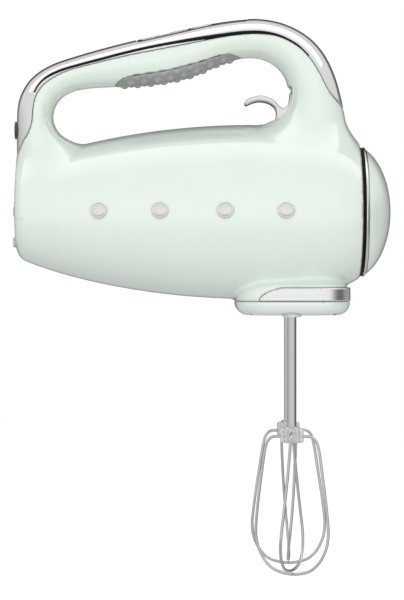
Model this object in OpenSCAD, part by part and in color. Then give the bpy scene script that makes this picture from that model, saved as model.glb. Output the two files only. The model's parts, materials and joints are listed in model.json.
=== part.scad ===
// Hand mixer with a looped handle, a domed nose, an oval gear foot and two wire beaters.
// X runs forward from the heel plane to the nose, Y to the user's left, Z up.
// The origin is where the motor axis meets the heel plane. Millimetres.

/* [Body] */
// Largest half height of the motor body
body_r = 48.3; // [47.8:0.1:49]
// Half width of the body as a share of its half height
body_flat = 0.93; // [0.88:0.01:0.94]
// Distance of the body's fullest section from the heel plane
belly_x = 131; // [128:1:134]
// Thickness of the moulded housing
wall = 2.4; // [2:0.1:2.6]
// Thickness of the plated trim on the handle
trim_t = 1.6; // [1.4:0.1:1.8]
// Thickness of the soft grip
grip_t = 1.3; // [1:0.1:1.5]

/* [Beaters] */
// Distance between the two beater axes
beater_gap = 44; // [44:0.1:44.2]
// Largest radius of a beater, to the middle of its wire
cage_r = 20.8; // [18:0.1:20.8]
// Diameter of the beater wire
wire_d = 1.9; // [1.6:0.1:2]
// Diameter of the beater shaft
shaft_d = 5; // [4.6:0.1:5]
// Height of the lowest point of the beaters
cage_bottom = -199; // [-204:1:-190]

/* [Drive] */
// Teeth on each drive gear
gear_teeth = 32; // [32:1:32]
// Gear module
gear_module = 1; // [1:0.1:1]
// Play left between worm and gear teeth
backlash = 0.3; // [0.25:0.01:0.4]
// Radius of the motor shaft
motor_shaft_r = 2.5; // [2.3:0.1:2.5]

/* [Controls] */
// Travel of the turbo button
button_travel = 0.8; // [0.4:0.1:1]
// Stroke of the ejector
eject_stroke = 6; // [5:0.5:6]

/* [Cord inlet] */
// Radius of the lead's hole
inlet_r = 3.6; // [3:0.1:3.8]

/* [Hidden] */

gap = 0.15;                     // shadow gap between neighbouring mouldings
foot_proud = 1.2;               // how far the heel feet and the gland stand behind the housing
heel_z = [0, -17];               // height of the two heel bars
gland_z = 45.3;
front_x = 191.3;                // front edge of the housing
ring_x = 193;                   // where the body's section formula ends
nose_x = 194.7;                 // rear edge of the nose cap
nose_mid = 186;                 // centre of the nose ellipsoid
nose_l = 22.6;                  // its half length
nose_r = 37.5;                  // its half height
beater_x = 153;                 // both beater axes
beater_y = beater_gap / 2;
sides = 32;                     // facets round the body

// Plan of the gear foot, and its levels
foot_mid = 153.7;
foot_l = 31.6;                  // half length
foot_w = 33.5;                  // half width
foot_corner = 21;
shoulder = [-41, -31, 8];        // its lower and upper level, and how far it draws in
seam_z = -49.2;                 // between the housing and the foot plate
foot_bottom = -57.1;
band_top = -41.8;
band_t = 1.4;

// The handle as a chain of oval sections: outer point, inner point (X, Z) and half width.
handle = [
    [[1.2, 22], [36, 26], 17],
    [[1.2, 33], [31, 37.5], 15.5],
    [[1.1, 43], [24.2, 44.5], 14.3],
    [[1.2, 51], [21.3, 51.5], 13.6],
    [[1.7, 59], [22.6, 58.5], 13.4],
    [[4, 66.5], [26, 63.2], 13.2],
    [[9.6, 74.6], [31.5, 66.6], 13.2],
    [[20, 81.6], [38, 68.2], 13.2],
    [[36, 87.1], [45.5, 69], 13.4],
    [[58, 93.2], [62.5, 69.9], 13.8],
    [[75, 97.2], [80.5, 71.6], 14],
    [[92, 101.1], [97.7, 75.3], 14],
    [[108, 104.4], [112.5, 81.6], 13.8],
    [[122, 106.5], [124, 85], 13.6],
    [[136, 107.2], [134, 85.4], 13.6],
    [[150, 104.4], [141, 83.2], 13.8],
    [[163, 97.4], [146.6, 79.2], 14.2],
    [[172, 87.5], [150.3, 73.6], 14.8],
    [[178, 75], [152, 66.5], 15.6],
    [[181.6, 62], [150.8, 59], 16.6],
    [[183.5, 52], [146.8, 53.2], 18],
    [[185.6, 43], [140.5, 47.6], 20],
    [[187, 34], [130, 38], 22]
];

// Lower edge of the plated trim, the black seal line above it, and the grip's edge (X, Z)
trim_edge = [
    [-3, 26], [2, 33], [5, 38.6], [8, 43.2], [10.2, 49], [10.8, 56], [12.2, 63],
    [15.6, 68.6], [21.4, 73.4], [29.9, 77.6], [42.6, 81.1], [63.8, 86.2], [85.2, 90.3],
    [102, 93.6], [120.5, 96.8], [134.8, 97.8], [146, 96.4], [156, 91.5],
    [163, 85], [168.6, 76.8], [172.9, 68.4], [177, 62.8], [184, 56.5]
];
seal_line = [
    [11.5, 65.4], [14, 69.9], [18.5, 74.1], [26.5, 77.9], [37.9, 81.2], [49, 84.1],
    [60.2, 87.1], [75.4, 90.6], [100.3, 95.3], [113.4, 97.8], [126, 98.9],
    [136, 98.8], [144, 97.8], [150.2, 95.6], [157, 91.9]
];
grip_edge = [
    [55.5, 68], [57.3, 70.6], [60.8, 72.6], [65.5, 74.4], [75, 75.9], [85, 77.5],
    [94.9, 80], [104.8, 82.7], [112, 85.1], [119.4, 86.2], [126.4, 84.5]
];
panel_tilt = 12.2;              // slope of the handle's top where the controls sit
panel_mid = [98, 102.4];

// Eject lever (X, Z): the hook's upper side up to the blade's top, then down inside the leg
// to the pivot boss, along the arm and back to the hook's underside
lever_top = [[127.7, 60], [130, 62.4], [136, 63.9], [140.4, 63.2], [144.2, 61], [147, 58],
             [149.3, 57.2], [151.3, 58.6], [152.4, 61.6], [152.8, 66.4]];
lever_front = [[153.8, 66.2], [154.2, 61], [153.8, 55], [153, 48]];
lever_arm = [[155.5, 46.6], [162, 42], [168, 36.6], [171.4, 32.9], [170.6, 31.6], [168.6, 31.8],
             [162, 36.6], [155.5, 40.4], [148, 42]];
lever_under = [[143.5, 44.5], [140.4, 47.4], [143.6, 49.6], [145.4, 53], [145.2, 56.8],
               [143.4, 59.2], [140.4, 60.9], [136.2, 61.7], [132.2, 61], [128.3, 59.1]];
pivot = [151, 45];
lever_w = 13;
slot_w = 14;

// Drive train
gear_r = gear_teeth * gear_module / 2;
worm_r = beater_y - gear_r;
pitch = PI * gear_module;
starts = 2;
lead = starts * pitch;
addendum = 0.8;
dedendum = 1.1;
flank = tan(20);
tooth = pitch / 2 - backlash;
gear_h = 7;
gear_twist = gear_h * lead / (2 * PI * worm_r) / gear_r * 180 / PI;
worm_l = 26;
worm_turns = worm_l / lead - 0.25;
stack = [78, 106];              // stator and rotor laminations along X
rotor_r = 15.8;
spindle_r = 4.2;
spindle_top = 8.6;
spindle_low = -57.9;
shank_top = -20;
plate_z = 28;                   // underside of the ejector plate
cover_top = 12.5;

green = "honeydew";

// ---------- shapes ----------

function body_r_at(x) = let(
    t = x < belly_x ? (belly_x - x) / belly_x : (x - belly_x) / (ring_x - belly_x),
    k = x < belly_x ? [0.441, 0.048] : [0.1795, 0.0888]
) body_r * (1 - k[0] * pow(t, 2) - k[1] * pow(t, 8));

heel_x = foot_proud;            // rear face of the housing
heel_corner = 5;
body_xs = [8, 14, 22, 32, 44, 57, 70, 84, 98, 112, 124, 136, 148, 160, 170, 179, 186, 190, ring_x + 1];

function nose_r_at(x) = nose_r * sqrt(max(0, 1 - pow((x - nose_mid) / nose_l, 2)));

// A curve through the points, n steps to each
function curve(p, n) = concat([for (i = [0:len(p) - 2]) let(
    a = p[max(0, i - 1)], b = p[i], c = p[i + 1], d = p[min(len(p) - 1, i + 2)]
) each [for (j = [0:n - 1]) let(t = j / n)
    0.5 * (2 * b + (c - a) * t + (2 * a - 5 * b + 4 * c - d) * t * t + (3 * b - a - 3 * c + d) * t * t * t)
]], [p[len(p) - 1]]);

// Outline of a strip that follows a line with a varying half thickness
function side_of(p, i) = let(d = p[min(len(p) - 1, i + 1)] - p[max(0, i - 1)]) [-d[1], d[0]] / norm(d);
function strip(p, h) = concat(
    [for (i = [0:len(p) - 1]) p[i] + side_of(p, i) * h[i]],
    [for (i = [len(p) - 1:-1:0]) p[i] - side_of(p, i) * h[i]]
);

// A closed skin over a stack of rings with m points each
module skin(rings, m) {
    n = len(rings);
    polyhedron(
        points = [for (r = rings) each r],
        faces = concat(
            [[for (j = [0:m - 1]) j]],
            [for (i = [0:n - 2], j = [0:m - 1]) let(k = (j + 1) % m)
                [i * m + j, (i + 1) * m + j, (i + 1) * m + k, i * m + k]],
            [[for (j = [m - 1:-1:0]) (n - 1) * m + j]]
        )
    );
}

module side_profile(depth) rotate([90, 0, 0]) linear_extrude(depth, center = true) children();

// Rings of points: round the body at x, and round the handle at its i-th section
function body_ring(x, r) = [for (j = [0:sides - 1]) let(a = 360 * j / sides)
    [x, body_flat * max(r, 1) * sin(a), max(r, 1) * cos(a)]];
function handle_ring(i, inset) = let(
    mid = (handle[i][0] + handle[i][1]) / 2,
    span = (handle[i][0] - handle[i][1]) / 2,
    up = span * (1 - inset / norm(span)),
    w = handle[i][2] - inset
) [for (a = [0:15:345]) [mid[0] + up[0] * cos(a), w * sin(a), mid[1] + up[1] * cos(a)]];

// The solid between two rings, and a chain of them
module slab(a, b) hull() polyhedron(
    points = concat(a, b),
    faces = [[for (j = [0:len(a) - 1]) j], [for (j = [0:len(b) - 1]) len(a) + j]]
);
module loft(rings) for (i = [0:len(rings) - 2]) slab(rings[i], rings[i + 1]);

// The motor body, each section set back by inset
module body_solid(inset) {
    heel = [for (a = [90:-30:0]) [heel_x + inset + heel_corner * (1 - sin(a)),
        body_r_at(heel_x + heel_corner) - inset - heel_corner * (1 - cos(a)) * 0.9]];
    loft([for (p = concat(heel, [for (x = body_xs) [x, body_r_at(x) - inset]])) body_ring(p[0], p[1])]);
}

module handle_solid(inset, from = 0, to = len(handle) - 1)
    skin([for (i = [to:-1:from]) handle_ring(i, inset)], 24);

module foot_plan(inset = 0) offset(r = foot_corner - inset, $fn = 40)
    square([2 * (foot_l - foot_corner), 2 * (foot_w - foot_corner)], center = true);

module foot_block(inset, low, high) translate([foot_mid, 0, low])
    linear_extrude(high - low) foot_plan(inset);

// The foot with its shoulders drawn in towards the motor body
module foot_body(inset, low) hull() {
    foot_block(inset, low, shoulder[0] - inset / 2);
    foot_block(inset + shoulder[2], shoulder[1] - inset - 0.5, shoulder[1] - inset);
}

// Region of the plated handle trim, seen from the side
module trim_region(grow = 0) side_profile(80) offset(delta = grow)
    polygon(concat(curve(trim_edge, 3), [[205, 56.5], [205, 130], [-20, 130], [-20, 26]]));

module seal_region(grow = 0) side_profile(80) offset(delta = grow)
    polygon(strip(curve(seal_line, 3), [for (i = [0:3 * (len(seal_line) - 1)]) 0.55]));

module grip_region(grow = 0) side_profile(80) offset(delta = grow)
    polygon(concat(curve(grip_edge, 3), [[126.4, 60], [55.5, 60]]));

// The frame of the controls on top of the handle: X along the slope, Z off the surface
module on_panel() translate([panel_mid[0], 0, panel_mid[1]]) rotate([0, -panel_tilt, 0]) children();

module pad_box(x, l, w, low = -6, high = 6) translate([x, 0, (low + high) / 2])
    linear_extrude(high - low, center = true) offset(r = 2, $fn = 16) square([l - 4, w - 4], center = true);

module along_x(x) translate([x, 0, 0]) rotate([0, 90, 0]) children();

module ring(r_out, r_in, h) difference() {
    cylinder(r = r_out, h = h, $fn = 64);
    translate([0, 0, -1]) cylinder(r = r_in, h = h + 2, $fn = 64);
}

// ---------- housing ----------

bosses = [[7.6, 56, 5], [164, 87, 5], [168.4, -45.4, 12]];     // X, Z and depth of the screw head

module boss(at, r) translate([at[0], 0, at[1]]) rotate([90, 0, 0])
    cylinder(r = r, h = 90, center = true, $fn = 12);

module lever_slot() translate([137.5, -slot_w / 2, 39]) cube([26, slot_w, 30]);

// Ribs that hold the laminations, and the cheeks that carry the lever's pin
module ribs() {
    intersection() {
        body_solid(wall - 0.4);
        difference() {
            for (x = [81, 101]) translate([x, -50, -60]) cube([2, 100, 120]);
            translate([60, -30.2, -31.2]) cube([60, 60.4, 62.4]);
        }
    }
    for (s = [-1, 1]) intersection() {
        handle_solid(wall - 0.4);
        translate([144, s > 0 ? slot_w / 2 : -slot_w / 2 - 2.5, 38]) cube([14, 2.5, 20]);
    }
}

module housing_shell() {
    difference() {
        union() {
            body_solid(0);
            handle_solid(0);
            foot_body(0, seam_z);
        }
        difference() {
            union() {
                body_solid(wall);
                handle_solid(wall);
                foot_body(wall, seam_z - 1);
                for (s = [-1, 1]) translate([beater_x, s * beater_y, seam_z])
                    cylinder(r = spindle_r + 0.7, h = 40, $fn = 32);
            }
            for (b = bosses) boss(b, 3.4);
            at_foot_screws() translate([0, 0, seam_z - foot_bottom]) cylinder(r = 5, h = 8, $fn = 32);
            ribs();
        }
        translate([front_x, -60, -60]) cube([20, 120, 120]);
        difference() {
            trim_region(gap);
            handle_solid(trim_t + gap);
        }
        on_panel() pad_box(0, 64, 17, -9);
        difference() {
            grip_region(gap);
            handle_solid(grip_t + gap);
        }
        foot_band_solid(gap);
        lever_slot();
        for (b = bosses) boss(b, 1.3);
        at_foot_screws() cylinder(r = 1.5, h = 14, $fn = 12);
        for (b = bosses) translate([b[0], -b[2], b[1]]) rotate([90, 0, 0])
            cylinder(r = 2.9, h = 60, $fn = 12);
        translate([pivot[0], 0, pivot[1]]) rotate([90, 0, 0])
            cylinder(r = 1.6, h = 18.8, center = true, $fn = 12);
        at_heel_pegs() cylinder(r = 1.6, h = 6, $fn = 12);
        along_x(0) translate([-gland_z, 0, 0]) cylinder(r = 5, h = 8, $fn = 48);
    }
}

module half(left) intersection() {
    housing_shell();
    translate([-10, left ? 0.05 : -80.05, -90]) cube([230, 80, 220]);
}

module housing_left() color(green) half(true);
module housing_right() color(green) half(false);

// Plated saddle over the handle, slit along the seal line, with a pocket for the control panel
module handle_cover() color("silver") difference() {
    intersection() {
        difference() {
            handle_solid(0, 1, 20);
            handle_solid(trim_t, 0, 21);
        }
        trim_region();
    }
    seal_region(0.05);
    on_panel() pad_box(0, 62.4, 15.4);
    along_x(-1) translate([-gland_z, 0, 0]) cylinder(r = 5, h = 8, $fn = 48);
}

module handle_seal() color("black") intersection() {
    difference() {
        handle_solid(0.15, 1, 20);
        handle_solid(trim_t, 0, 21);
    }
    seal_region();
}

// Soft grip under the handle with nine rows of pips
module grip_pad() color("gray") {
    intersection() {
        difference() {
            handle_solid(0, 8, 15);
            handle_solid(grip_t, 7, 16);
        }
        grip_region();
    }
    under = [for (i = [8:15]) handle[i][1]];
    for (i = [0:8], j = [-1:1]) let(x = 61.5 + 7.45 * i)
        translate([x, j * 6.5, lookup(x, under) + abs(j) * 1.4 - 1.1]) rotate([0, -12, 0])
            cylinder(r1 = 0.6, r2 = 2.4, h = 2.5, center = true, $fn = 6);
}

// ---------- nose ----------

module dome(inset) {
    l = nose_l - inset;
    xs = concat([nose_x], [for (a = [65:-13:0]) nose_mid + l * cos(a)]);
    loft([for (x = xs) body_ring(x, (nose_r - inset) * sqrt(max(0, 1 - pow((x - nose_mid) / l, 2))))]);
}

module hoop(x0, x1, r0, r1, t) difference() {
    slab(body_ring(x0, r0), body_ring(x1, r1));
    slab(body_ring(x0 - 0.2, r0 - t), body_ring(x1 + 0.2, r1 - t));
}

module nose_cap() color(green) difference() {
    dome(0);
    translate([-gap, 0, 0]) dome(wall);
}
module nose_ring() color("silver")
    hoop(ring_x + 0.05, nose_x - 0.05, nose_r_at(ring_x) + 0.3, nose_r_at(nose_x) + 0.2, 4);
module vent_ring() color("black")
    hoop(front_x + 0.05, ring_x, body_r_at(front_x) - 1, nose_r_at(ring_x) - 0.8, 3.4);

// ---------- foot ----------

// The band runs round the front of the foot and ends in a swept point on each side
module foot_band_solid(grow) intersection() {
    difference() {
        foot_block(-0.4 - grow, seam_z, band_top + grow);
        foot_block(band_t + grow, seam_z - 1, band_top + 2);
    }
    side_profile(90) polygon(concat(
        [[134.6 - grow, seam_z - 1]],
        curve([[134.6 - grow, seam_z], [136.2 - grow, -46.4],
               [140.5 - grow, -43.8], [147, band_top + grow]], 4),
        [[147, band_top + 5], [200, band_top + 5], [200, seam_z - 1]]
    ));
}

module foot_band() color("silver") foot_band_solid(0);

module foot_plate() color(green) difference() {
    hull() {
        foot_block(0, seam_z - 3.4, seam_z - gap);
        foot_block(2.6, seam_z - 6, seam_z - 1);
        foot_block(9, foot_bottom, seam_z - 1);
    }
    foot_block(2.6, seam_z - 3, seam_z + 1);
    for (s = [-1, 1]) translate([beater_x, s * beater_y, -70]) cylinder(r = 8.1, h = 30, $fn = 64);
    at_foot_screws() {
        cylinder(r = 1.7, h = 30, $fn = 32);
        translate([0, 0, -1]) cylinder(r = 2.9, h = 2.2, $fn = 32);
    }
}

// Four screws hold the foot plate
module at_foot_screws() for (x = [-20.5, 20.5], y = [-22, 22]) translate([foot_mid + x, y, foot_bottom])
    children();

// ---------- outside fittings ----------

module cord_gland() color("dimgray") along_x(0) translate([-gland_z, 0, 0]) difference() {
    union() {
        cylinder(r = 4.85, h = 6.4, $fn = 64);
        translate([0, 0, 5]) cylinder(r = 6.2, h = 1.4, $fn = 64);
    }
    translate([0, 0, -1]) cylinder(r = inlet_r, h = 10, $fn = 64);
}

// Two rubber bars that the mixer stands on when it is parked on its heel
module at_heel_pegs() for (y = [-9, 9], z = heel_z) translate([0, y, z]) rotate([0, 90, 0]) children();
module heel_feet() color("lightgray") {
    for (z = heel_z) along_x(0) translate([-z, 0, 0]) linear_extrude(foot_proud - 0.05) {
        square([5.6, 20], center = true);
        for (y = [-10, 10]) translate([0, y]) circle(r = 2.8, $fn = 48);
    }
    at_heel_pegs() cylinder(r = 1.5, h = 5, $fn = 48);
}

// Plain domed studs along each flank
stud_x = [48.5, 81.5, 116.5, 149];
module stud_row(s) for (x = stud_x) {
    slope = body_flat * (body_r_at(x + 1) - body_r_at(x - 1)) / 2;
    translate([x, s * body_flat * body_r_at(x), 0]) rotate([0, 0, s * atan(slope)]) rotate([s * -90, 0, 0])
        translate([0, 0, 0.1]) cylinder(r1 = 4.6, r2 = 3.9, h = 1, $fn = 48);
}
module side_studs_left() color("silver") stud_row(1);
module side_studs_right() color("silver") stud_row(-1);

// ---------- controls ----------

module panel_skin(proud, thick) difference() {
    handle_solid(-proud, 8, 16);
    handle_solid(thick, 7, 17);
}

module control_panel() color("black") difference() {
    intersection() {
        panel_skin(0.05, trim_t);
        on_panel() pad_box(0, 62, 15);
    }
    on_panel() {
        pad_box(21, 16.4, 11.4);
        pad_box(5.5, 11.4, 11.4);
        pad_box(-15, 26.4, 11.4);
    }
}
module display_window() color("darkslategray") intersection() {
    panel_skin(0.05, trim_t);
    on_panel() pad_box(21, 16, 11);
}
module turbo_button() color("gainsboro") {
    intersection() {
        panel_skin(0.6, trim_t);
        on_panel() pad_box(5.5, 10.6, 10.6);
    }
    on_panel() translate([5.5, 0, -5.3]) cylinder(r = 1.6, h = 4.9, $fn = 12);
}
module speed_rocker() color("gainsboro") {
    intersection() {
        panel_skin(0.3, trim_t);
        on_panel() pad_box(-15, 25.4, 10.6);
    }
    on_panel() for (x = [-23, -7]) translate([x, 0, -5.6]) cylinder(r = 1.4, h = 5, $fn = 12);
}
module circuit_board() color("darkgreen") on_panel() translate([-29, -6.5, -10]) cube([58, 13, 1.2]);
module board_parts() color("dimgray") on_panel() {
    for (x = [-23, -7, 5.5]) translate([x - 2.5, -2.5, -8.8]) cube([5, 5, 2.6]);
    translate([14, -4.5, -8.8]) cube([14, 9, 4]);
    translate([-18, -5.5, -14]) cube([9, 11, 4]);
    translate([2, -5, -13]) cube([8, 9, 3]);
}

// ---------- eject mechanism ----------

module cross_pin(r, l) translate([pivot[0], 0, pivot[1]]) rotate([90, 0, 0])
    cylinder(r = r, h = l, center = true, $fn = 48);

module eject_lever() color("silver") difference() {
    union() {
        side_profile(lever_w)
            polygon(concat(curve(lever_top, 3), lever_front, lever_arm, curve(lever_under, 3)));
        cross_pin(4, lever_w);
    }
    cross_pin(1.55, 2 * lever_w);
}

module eject_pivot_pin() color("silver") cross_pin(1.5, 18.4);

// The plate pushes the beater shanks out through the tops of the spindles
module ejector_plate() color("white") {
    translate([beater_x - 5, -beater_y - 4, plate_z]) cube([10, beater_gap + 8, 3]);
    translate([beater_x - 7, -6, plate_z]) cube([26, 12, 3]);
    for (s = [-1, 1]) translate([beater_x, s * beater_y, shank_top + 0.3])
        cylinder(r = 2, h = plate_z - shank_top, $fn = 48);
}
spring_r = 4.2;
module ejector_spring() color("silver") {
    turns = 4.5;
    h = plate_z - cover_top - 1;
    rings = [for (i = [0:12 * turns]) let(
        a = 30 * i, z = cover_top + 0.5 + h * i / (12 * turns)
    ) [for (j = [0:5]) [beater_x + (spring_r + 0.45 * cos(60 * j)) * cos(a),
        (spring_r + 0.45 * cos(60 * j)) * sin(a), z - 0.45 * sin(60 * j)]]];
    skin(rings, 6);
}

// ---------- motor ----------

module motor_stator() color("slategray")
along_x(stack[0]) linear_extrude(stack[1] - stack[0]) difference() {
    union() {
        difference() {
            intersection() {
                square([62, 60], center = true);
                circle(r = 38.5, $fn = 96);
            }
            for (s = [-1, 1]) translate([0, s * 18.6]) square([50, 10.8], center = true);
        }
        difference() {
            circle(r = 20, $fn = 96);
            square([16, 60], center = true);
        }
    }
    circle(r = rotor_r + 0.5, $fn = 96);
    for (z = [-1, 1], y = [-1, 1]) translate([z * 8, y * 27.2]) circle(r = 1.6, $fn = 32);
}
// One coil round each pole, above and below the rotor
module field_coils() color("peru") for (s = [-1, 1]) translate([(stack[0] + stack[1]) / 2, 0, s * 22.1])
    difference() {
        translate([-22, -23.6, -2.6]) cube([44, 47.2, 5.2]);
        translate([-14.2, -13.4, -4]) cube([28.4, 26.8, 8]);
    }
module rear_bracket() color("dimgray") difference() {
    union() {
        translate([50, -30, -11]) cube([4, 60, 22]);
        translate([50, -6, -27]) cube([4, 12, 54]);
        along_x(48) cylinder(r = 8, h = 8, $fn = 64);
    }
    along_x(40) cylinder(r = 5, h = 30, $fn = 64);
    for (z = [-1, 1], y = [-1, 1]) translate([45, y * 27.2, z * 8]) rotate([0, 90, 0])
        cylinder(r = 1.6, h = 20, $fn = 32);
}
module bush(x, l) color("goldenrod") along_x(x) ring(4.98, motor_shaft_r + 0.05, l);
module rear_bush() bush(48.2, 7.6);
module middle_bush() bush(129.6, 3.8);
module front_bush() bush(171.6, 3.8);
module brush_holders() color("goldenrod") for (s = [-1, 1]) difference() {
    translate([54, s > 0 ? 10.5 : -25.5, -3.6]) cube([13.5, 15, 7.2]);
    translate([59.9, s > 0 ? 5 : -30, -2.4]) cube([6.2, 25, 4.8]);
}
module carbon_brushes() color("black") for (s = [-1, 1])
    translate([60, s > 0 ? 9.4 : -22.4, -2.3]) cube([6, 13, 4.6]);
// Long screws from the rear bracket through the laminations into the gearbox
module motor_screws() color("silver")
for (z = [-1, 1], y = [-1, 1]) translate([0, y * 27.2, z * 8]) rotate([0, 90, 0]) {
    translate([0, 0, 47.6]) cylinder(r = 2.8, h = 2.4, $fn = 32);
    translate([0, 0, 50]) cylinder(r = 1.5, h = 60, $fn = 32);
    translate([0, 0, stack[1]]) ring(2.8, 1.4, 2.2);
}

module motor_shaft() color("silver") along_x(45) cylinder(r = motor_shaft_r, h = 131, $fn = 64);
module armature_core() color("slategray") difference() {
    along_x(stack[0]) ring(rotor_r, motor_shaft_r + 0.02, stack[1] - stack[0]);
    for (i = [0:11]) rotate([30 * i, 0, 0]) translate([stack[0] - 1, -0.7, rotor_r - 3.2])
        cube([stack[1] - stack[0] + 2, 1.4, 5]);
}
module armature_windings() color("chocolate") {
    along_x(stack[0] - 8) ring(12.4, motor_shaft_r + 0.02, 8);
    along_x(stack[1]) ring(12.4, motor_shaft_r + 0.02, 7);
}
module commutator() color("peru") difference() {
    along_x(57.5) ring(9.2, motor_shaft_r + 0.02, 11);
    for (i = [0:11]) rotate([30 * i + 15, 0, 0]) translate([56, -0.25, 8.4]) cube([14, 0.5, 4]);
}
module cooling_fan() color("whitesmoke") {
    along_x(115.8) ring(6, motor_shaft_r + 0.02, 8);
    along_x(115.8) ring(24, 5.5, 1.2);
    for (i = [0:8]) rotate([40 * i, 0, 0]) translate([116.5, -0.6, 5.5]) cube([7.2, 1.2, 18]);
}

thread_top = tooth - 2 * addendum * flank;
thread_low = tooth + 2 * dedendum * flank;
module worm_thread(start) {
    steps = ceil(worm_turns * 14);
    rings = [for (i = [0:steps]) let(
        a = 360 * worm_turns * i / steps + start,
        x = beater_x - lead * worm_turns / 2 + lead * worm_turns * i / steps
    ) [for (q = [[-thread_low / 2, worm_r - dedendum - 0.3], [-thread_top / 2, worm_r + addendum],
                 [thread_top / 2, worm_r + addendum], [thread_low / 2, worm_r - dedendum - 0.3]])
        [x + q[0], q[1] * cos(a), q[1] * sin(a)]]];
    skin([for (i = [steps:-1:0]) rings[i]], 4);
}
// Each thread faces the gears half a pitch from beater_x, so a gap meets the tooth there
module worm() color("silver") difference() {
    union() {
        along_x(beater_x - worm_l / 2) cylinder(r = (worm_r - dedendum) / cos(15), h = worm_l, $fn = 12);
        for (k = [0:starts - 1]) worm_thread(180 * k - 180 * worm_turns - 90);
    }
    along_x(beater_x - worm_l) cylinder(r = (motor_shaft_r + 0.05) / cos(15), h = 2 * worm_l, $fn = 12);
}

// ---------- gearbox ----------

case_x = [130, 175];
case_z = [-10.2, 10];
cover_screws = [[131.5, 24], [131.5, -24], [173.5, 18], [173.5, -18]];
module gearbox_case() color("gainsboro") difference() {
    union() {
        translate([case_x[0], -35.5, case_z[0]]) cube([38, 71, 3]);
        translate([case_x[0], -24, case_z[0]]) cube([case_x[1] - case_x[0], 48, 3]);
        translate([case_x[0], -30, case_z[0]]) cube([3, 60, case_z[1] - case_z[0]]);
        translate([case_x[1] - 3, -24, case_z[0]]) cube([3, 48, case_z[1] - case_z[0]]);
        for (s = [-1, 1]) translate([beater_x, s * beater_y, -16]) cylinder(r = 10.4, h = 8, $fn = 64);
    }
    along_x(120) cylinder(r = 5, h = 60, $fn = 64);
    for (s = [-1, 1]) translate([beater_x, s * beater_y, -20]) cylinder(r = 8, h = 20, $fn = 64);
    for (c = cover_screws) translate([c[0], c[1], 0]) cylinder(r = 1.05, h = 12, $fn = 32);
}
module gearbox_cover() color("gainsboro") difference() {
    translate([case_x[0], -32, case_z[1]]) cube([case_x[1] - case_x[0], 64, cover_top - case_z[1]]);
    for (s = [-1, 1]) translate([beater_x, s * beater_y, 0]) cylinder(r = 2.3, h = 20, $fn = 48);
    for (c = cover_screws) translate([c[0], c[1], 0]) cylinder(r = 1.2, h = 20, $fn = 32);
}
module gearbox_screws() color("silver") for (c = cover_screws) translate([c[0], c[1], cover_top]) {
    difference() {
        cylinder(r = 2.2, h = 1.6, $fn = 32);
        translate([0, 0, 0.8]) cylinder(r = 1.1, h = 2, $fn = 6);
    }
    translate([0, 0, -8]) cylinder(r = 1, h = 8.5, $fn = 32);
}
module spindle_bushes() color("goldenrod") for (s = [-1, 1]) translate([beater_x, s * beater_y, -16])
    ring(7.98, spindle_r + 0.05, 9.6);
// Flanged nylon bushes that guide the spindles through the foot plate
module foot_bushes() color("white") for (s = [-1, 1]) translate([beater_x, s * beater_y, 0]) {
    translate([0, 0, -56.6]) ring(8, spindle_r + 0.05, 10);
    translate([0, 0, -58.3]) ring(5.8, spindle_r + 0.05, 3);
}

module gear_outline() polygon([for (i = [0:gear_teeth - 1], q = [
    [-(tooth / 2 + dedendum * flank), -dedendum], [-(tooth / 2 - addendum * flank), addendum],
    [tooth / 2 - addendum * flank, addendum], [tooth / 2 + dedendum * flank, -dedendum]
]) let(a = 360 * i / gear_teeth + q[0] / gear_r * 180 / PI, r = gear_r + q[1]) [r * cos(a), r * sin(a)]]);
// Helical teeth whose slant follows the worm's lead, round a hexagonal seat for the spindle
module drive_gear(s) color("ivory") translate([beater_x, s * beater_y, 0]) difference() {
    rotate([0, 0, -gear_twist / 2]) linear_extrude(gear_h, center = true, twist = -gear_twist, slices = 2)
        gear_outline();
    cylinder(r = 7.05, h = 20, center = true, $fn = 6);
}
module drive_gear_left() drive_gear(1);
module drive_gear_right() drive_gear(-1);

module spindle(s) color("silver") translate([beater_x, s * beater_y, 0]) difference() {
    union() {
        translate([0, 0, spindle_low]) cylinder(r = spindle_r, h = spindle_top - spindle_low, $fn = 64);
        translate([0, 0, -gear_h / 2]) cylinder(r = 7, h = gear_h, $fn = 6);
        translate([0, 0, -6.1]) cylinder(r = 7.6, h = 6.1 - gear_h / 2, $fn = 48);
    }
    translate([0, 0, spindle_low - 1]) cylinder(r = shaft_d / 2 + 0.06, h = 80, $fn = 64);
    translate([-0.8, -4.4, spindle_low - 1]) cube([1.6, 8.8, 9]);
}
module spindle_left() spindle(1);
module spindle_right() spindle(-1);

// ---------- beaters ----------

hub_top = -117.4;
hub_low = -126.4;
wire_z = -123;
// Half of a wire loop: radius and height, from the hub out over the shoulder and down to the tip
function loop_half(lift) = [
    [2.4, wire_z + lift], [7.5, wire_z + lift], [11.4, wire_z + lift - 0.2], [14.4, wire_z - 2.6],
    [16.2, wire_z - 8], [18.1, wire_z - 18.5], [19.9, wire_z - 33], [cage_r, wire_z - 48.5],
    [cage_r * 0.975, wire_z - 57], [cage_r * 0.83, wire_z - 65.4], [cage_r * 0.57, wire_z - 71.6],
    [cage_r * 0.28, cage_bottom + wire_d / 2 + 0.8 + lift]
];
function loop_path(lift) =
    let(h = curve(concat(loop_half(lift), [[0, cage_bottom + wire_d / 2 + lift]]), 2))
    concat(h, [for (i = [len(h) - 2:-1:0]) [-h[i][0], h[i][1]]]);
function wire_rings(p) = [for (i = [0:len(p) - 1]) let(n = side_of(p, i))
    [for (j = [0:7]) let(c = wire_d / 2 * cos(45 * j), w = wire_d / 2 * sin(45 * j))
        [p[i][0] + n[0] * c, w, p[i][1] + n[1] * c]]];
module wire_loop(turn, lift) rotate([0, 0, turn]) skin(wire_rings(loop_path(lift)), 8);

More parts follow.
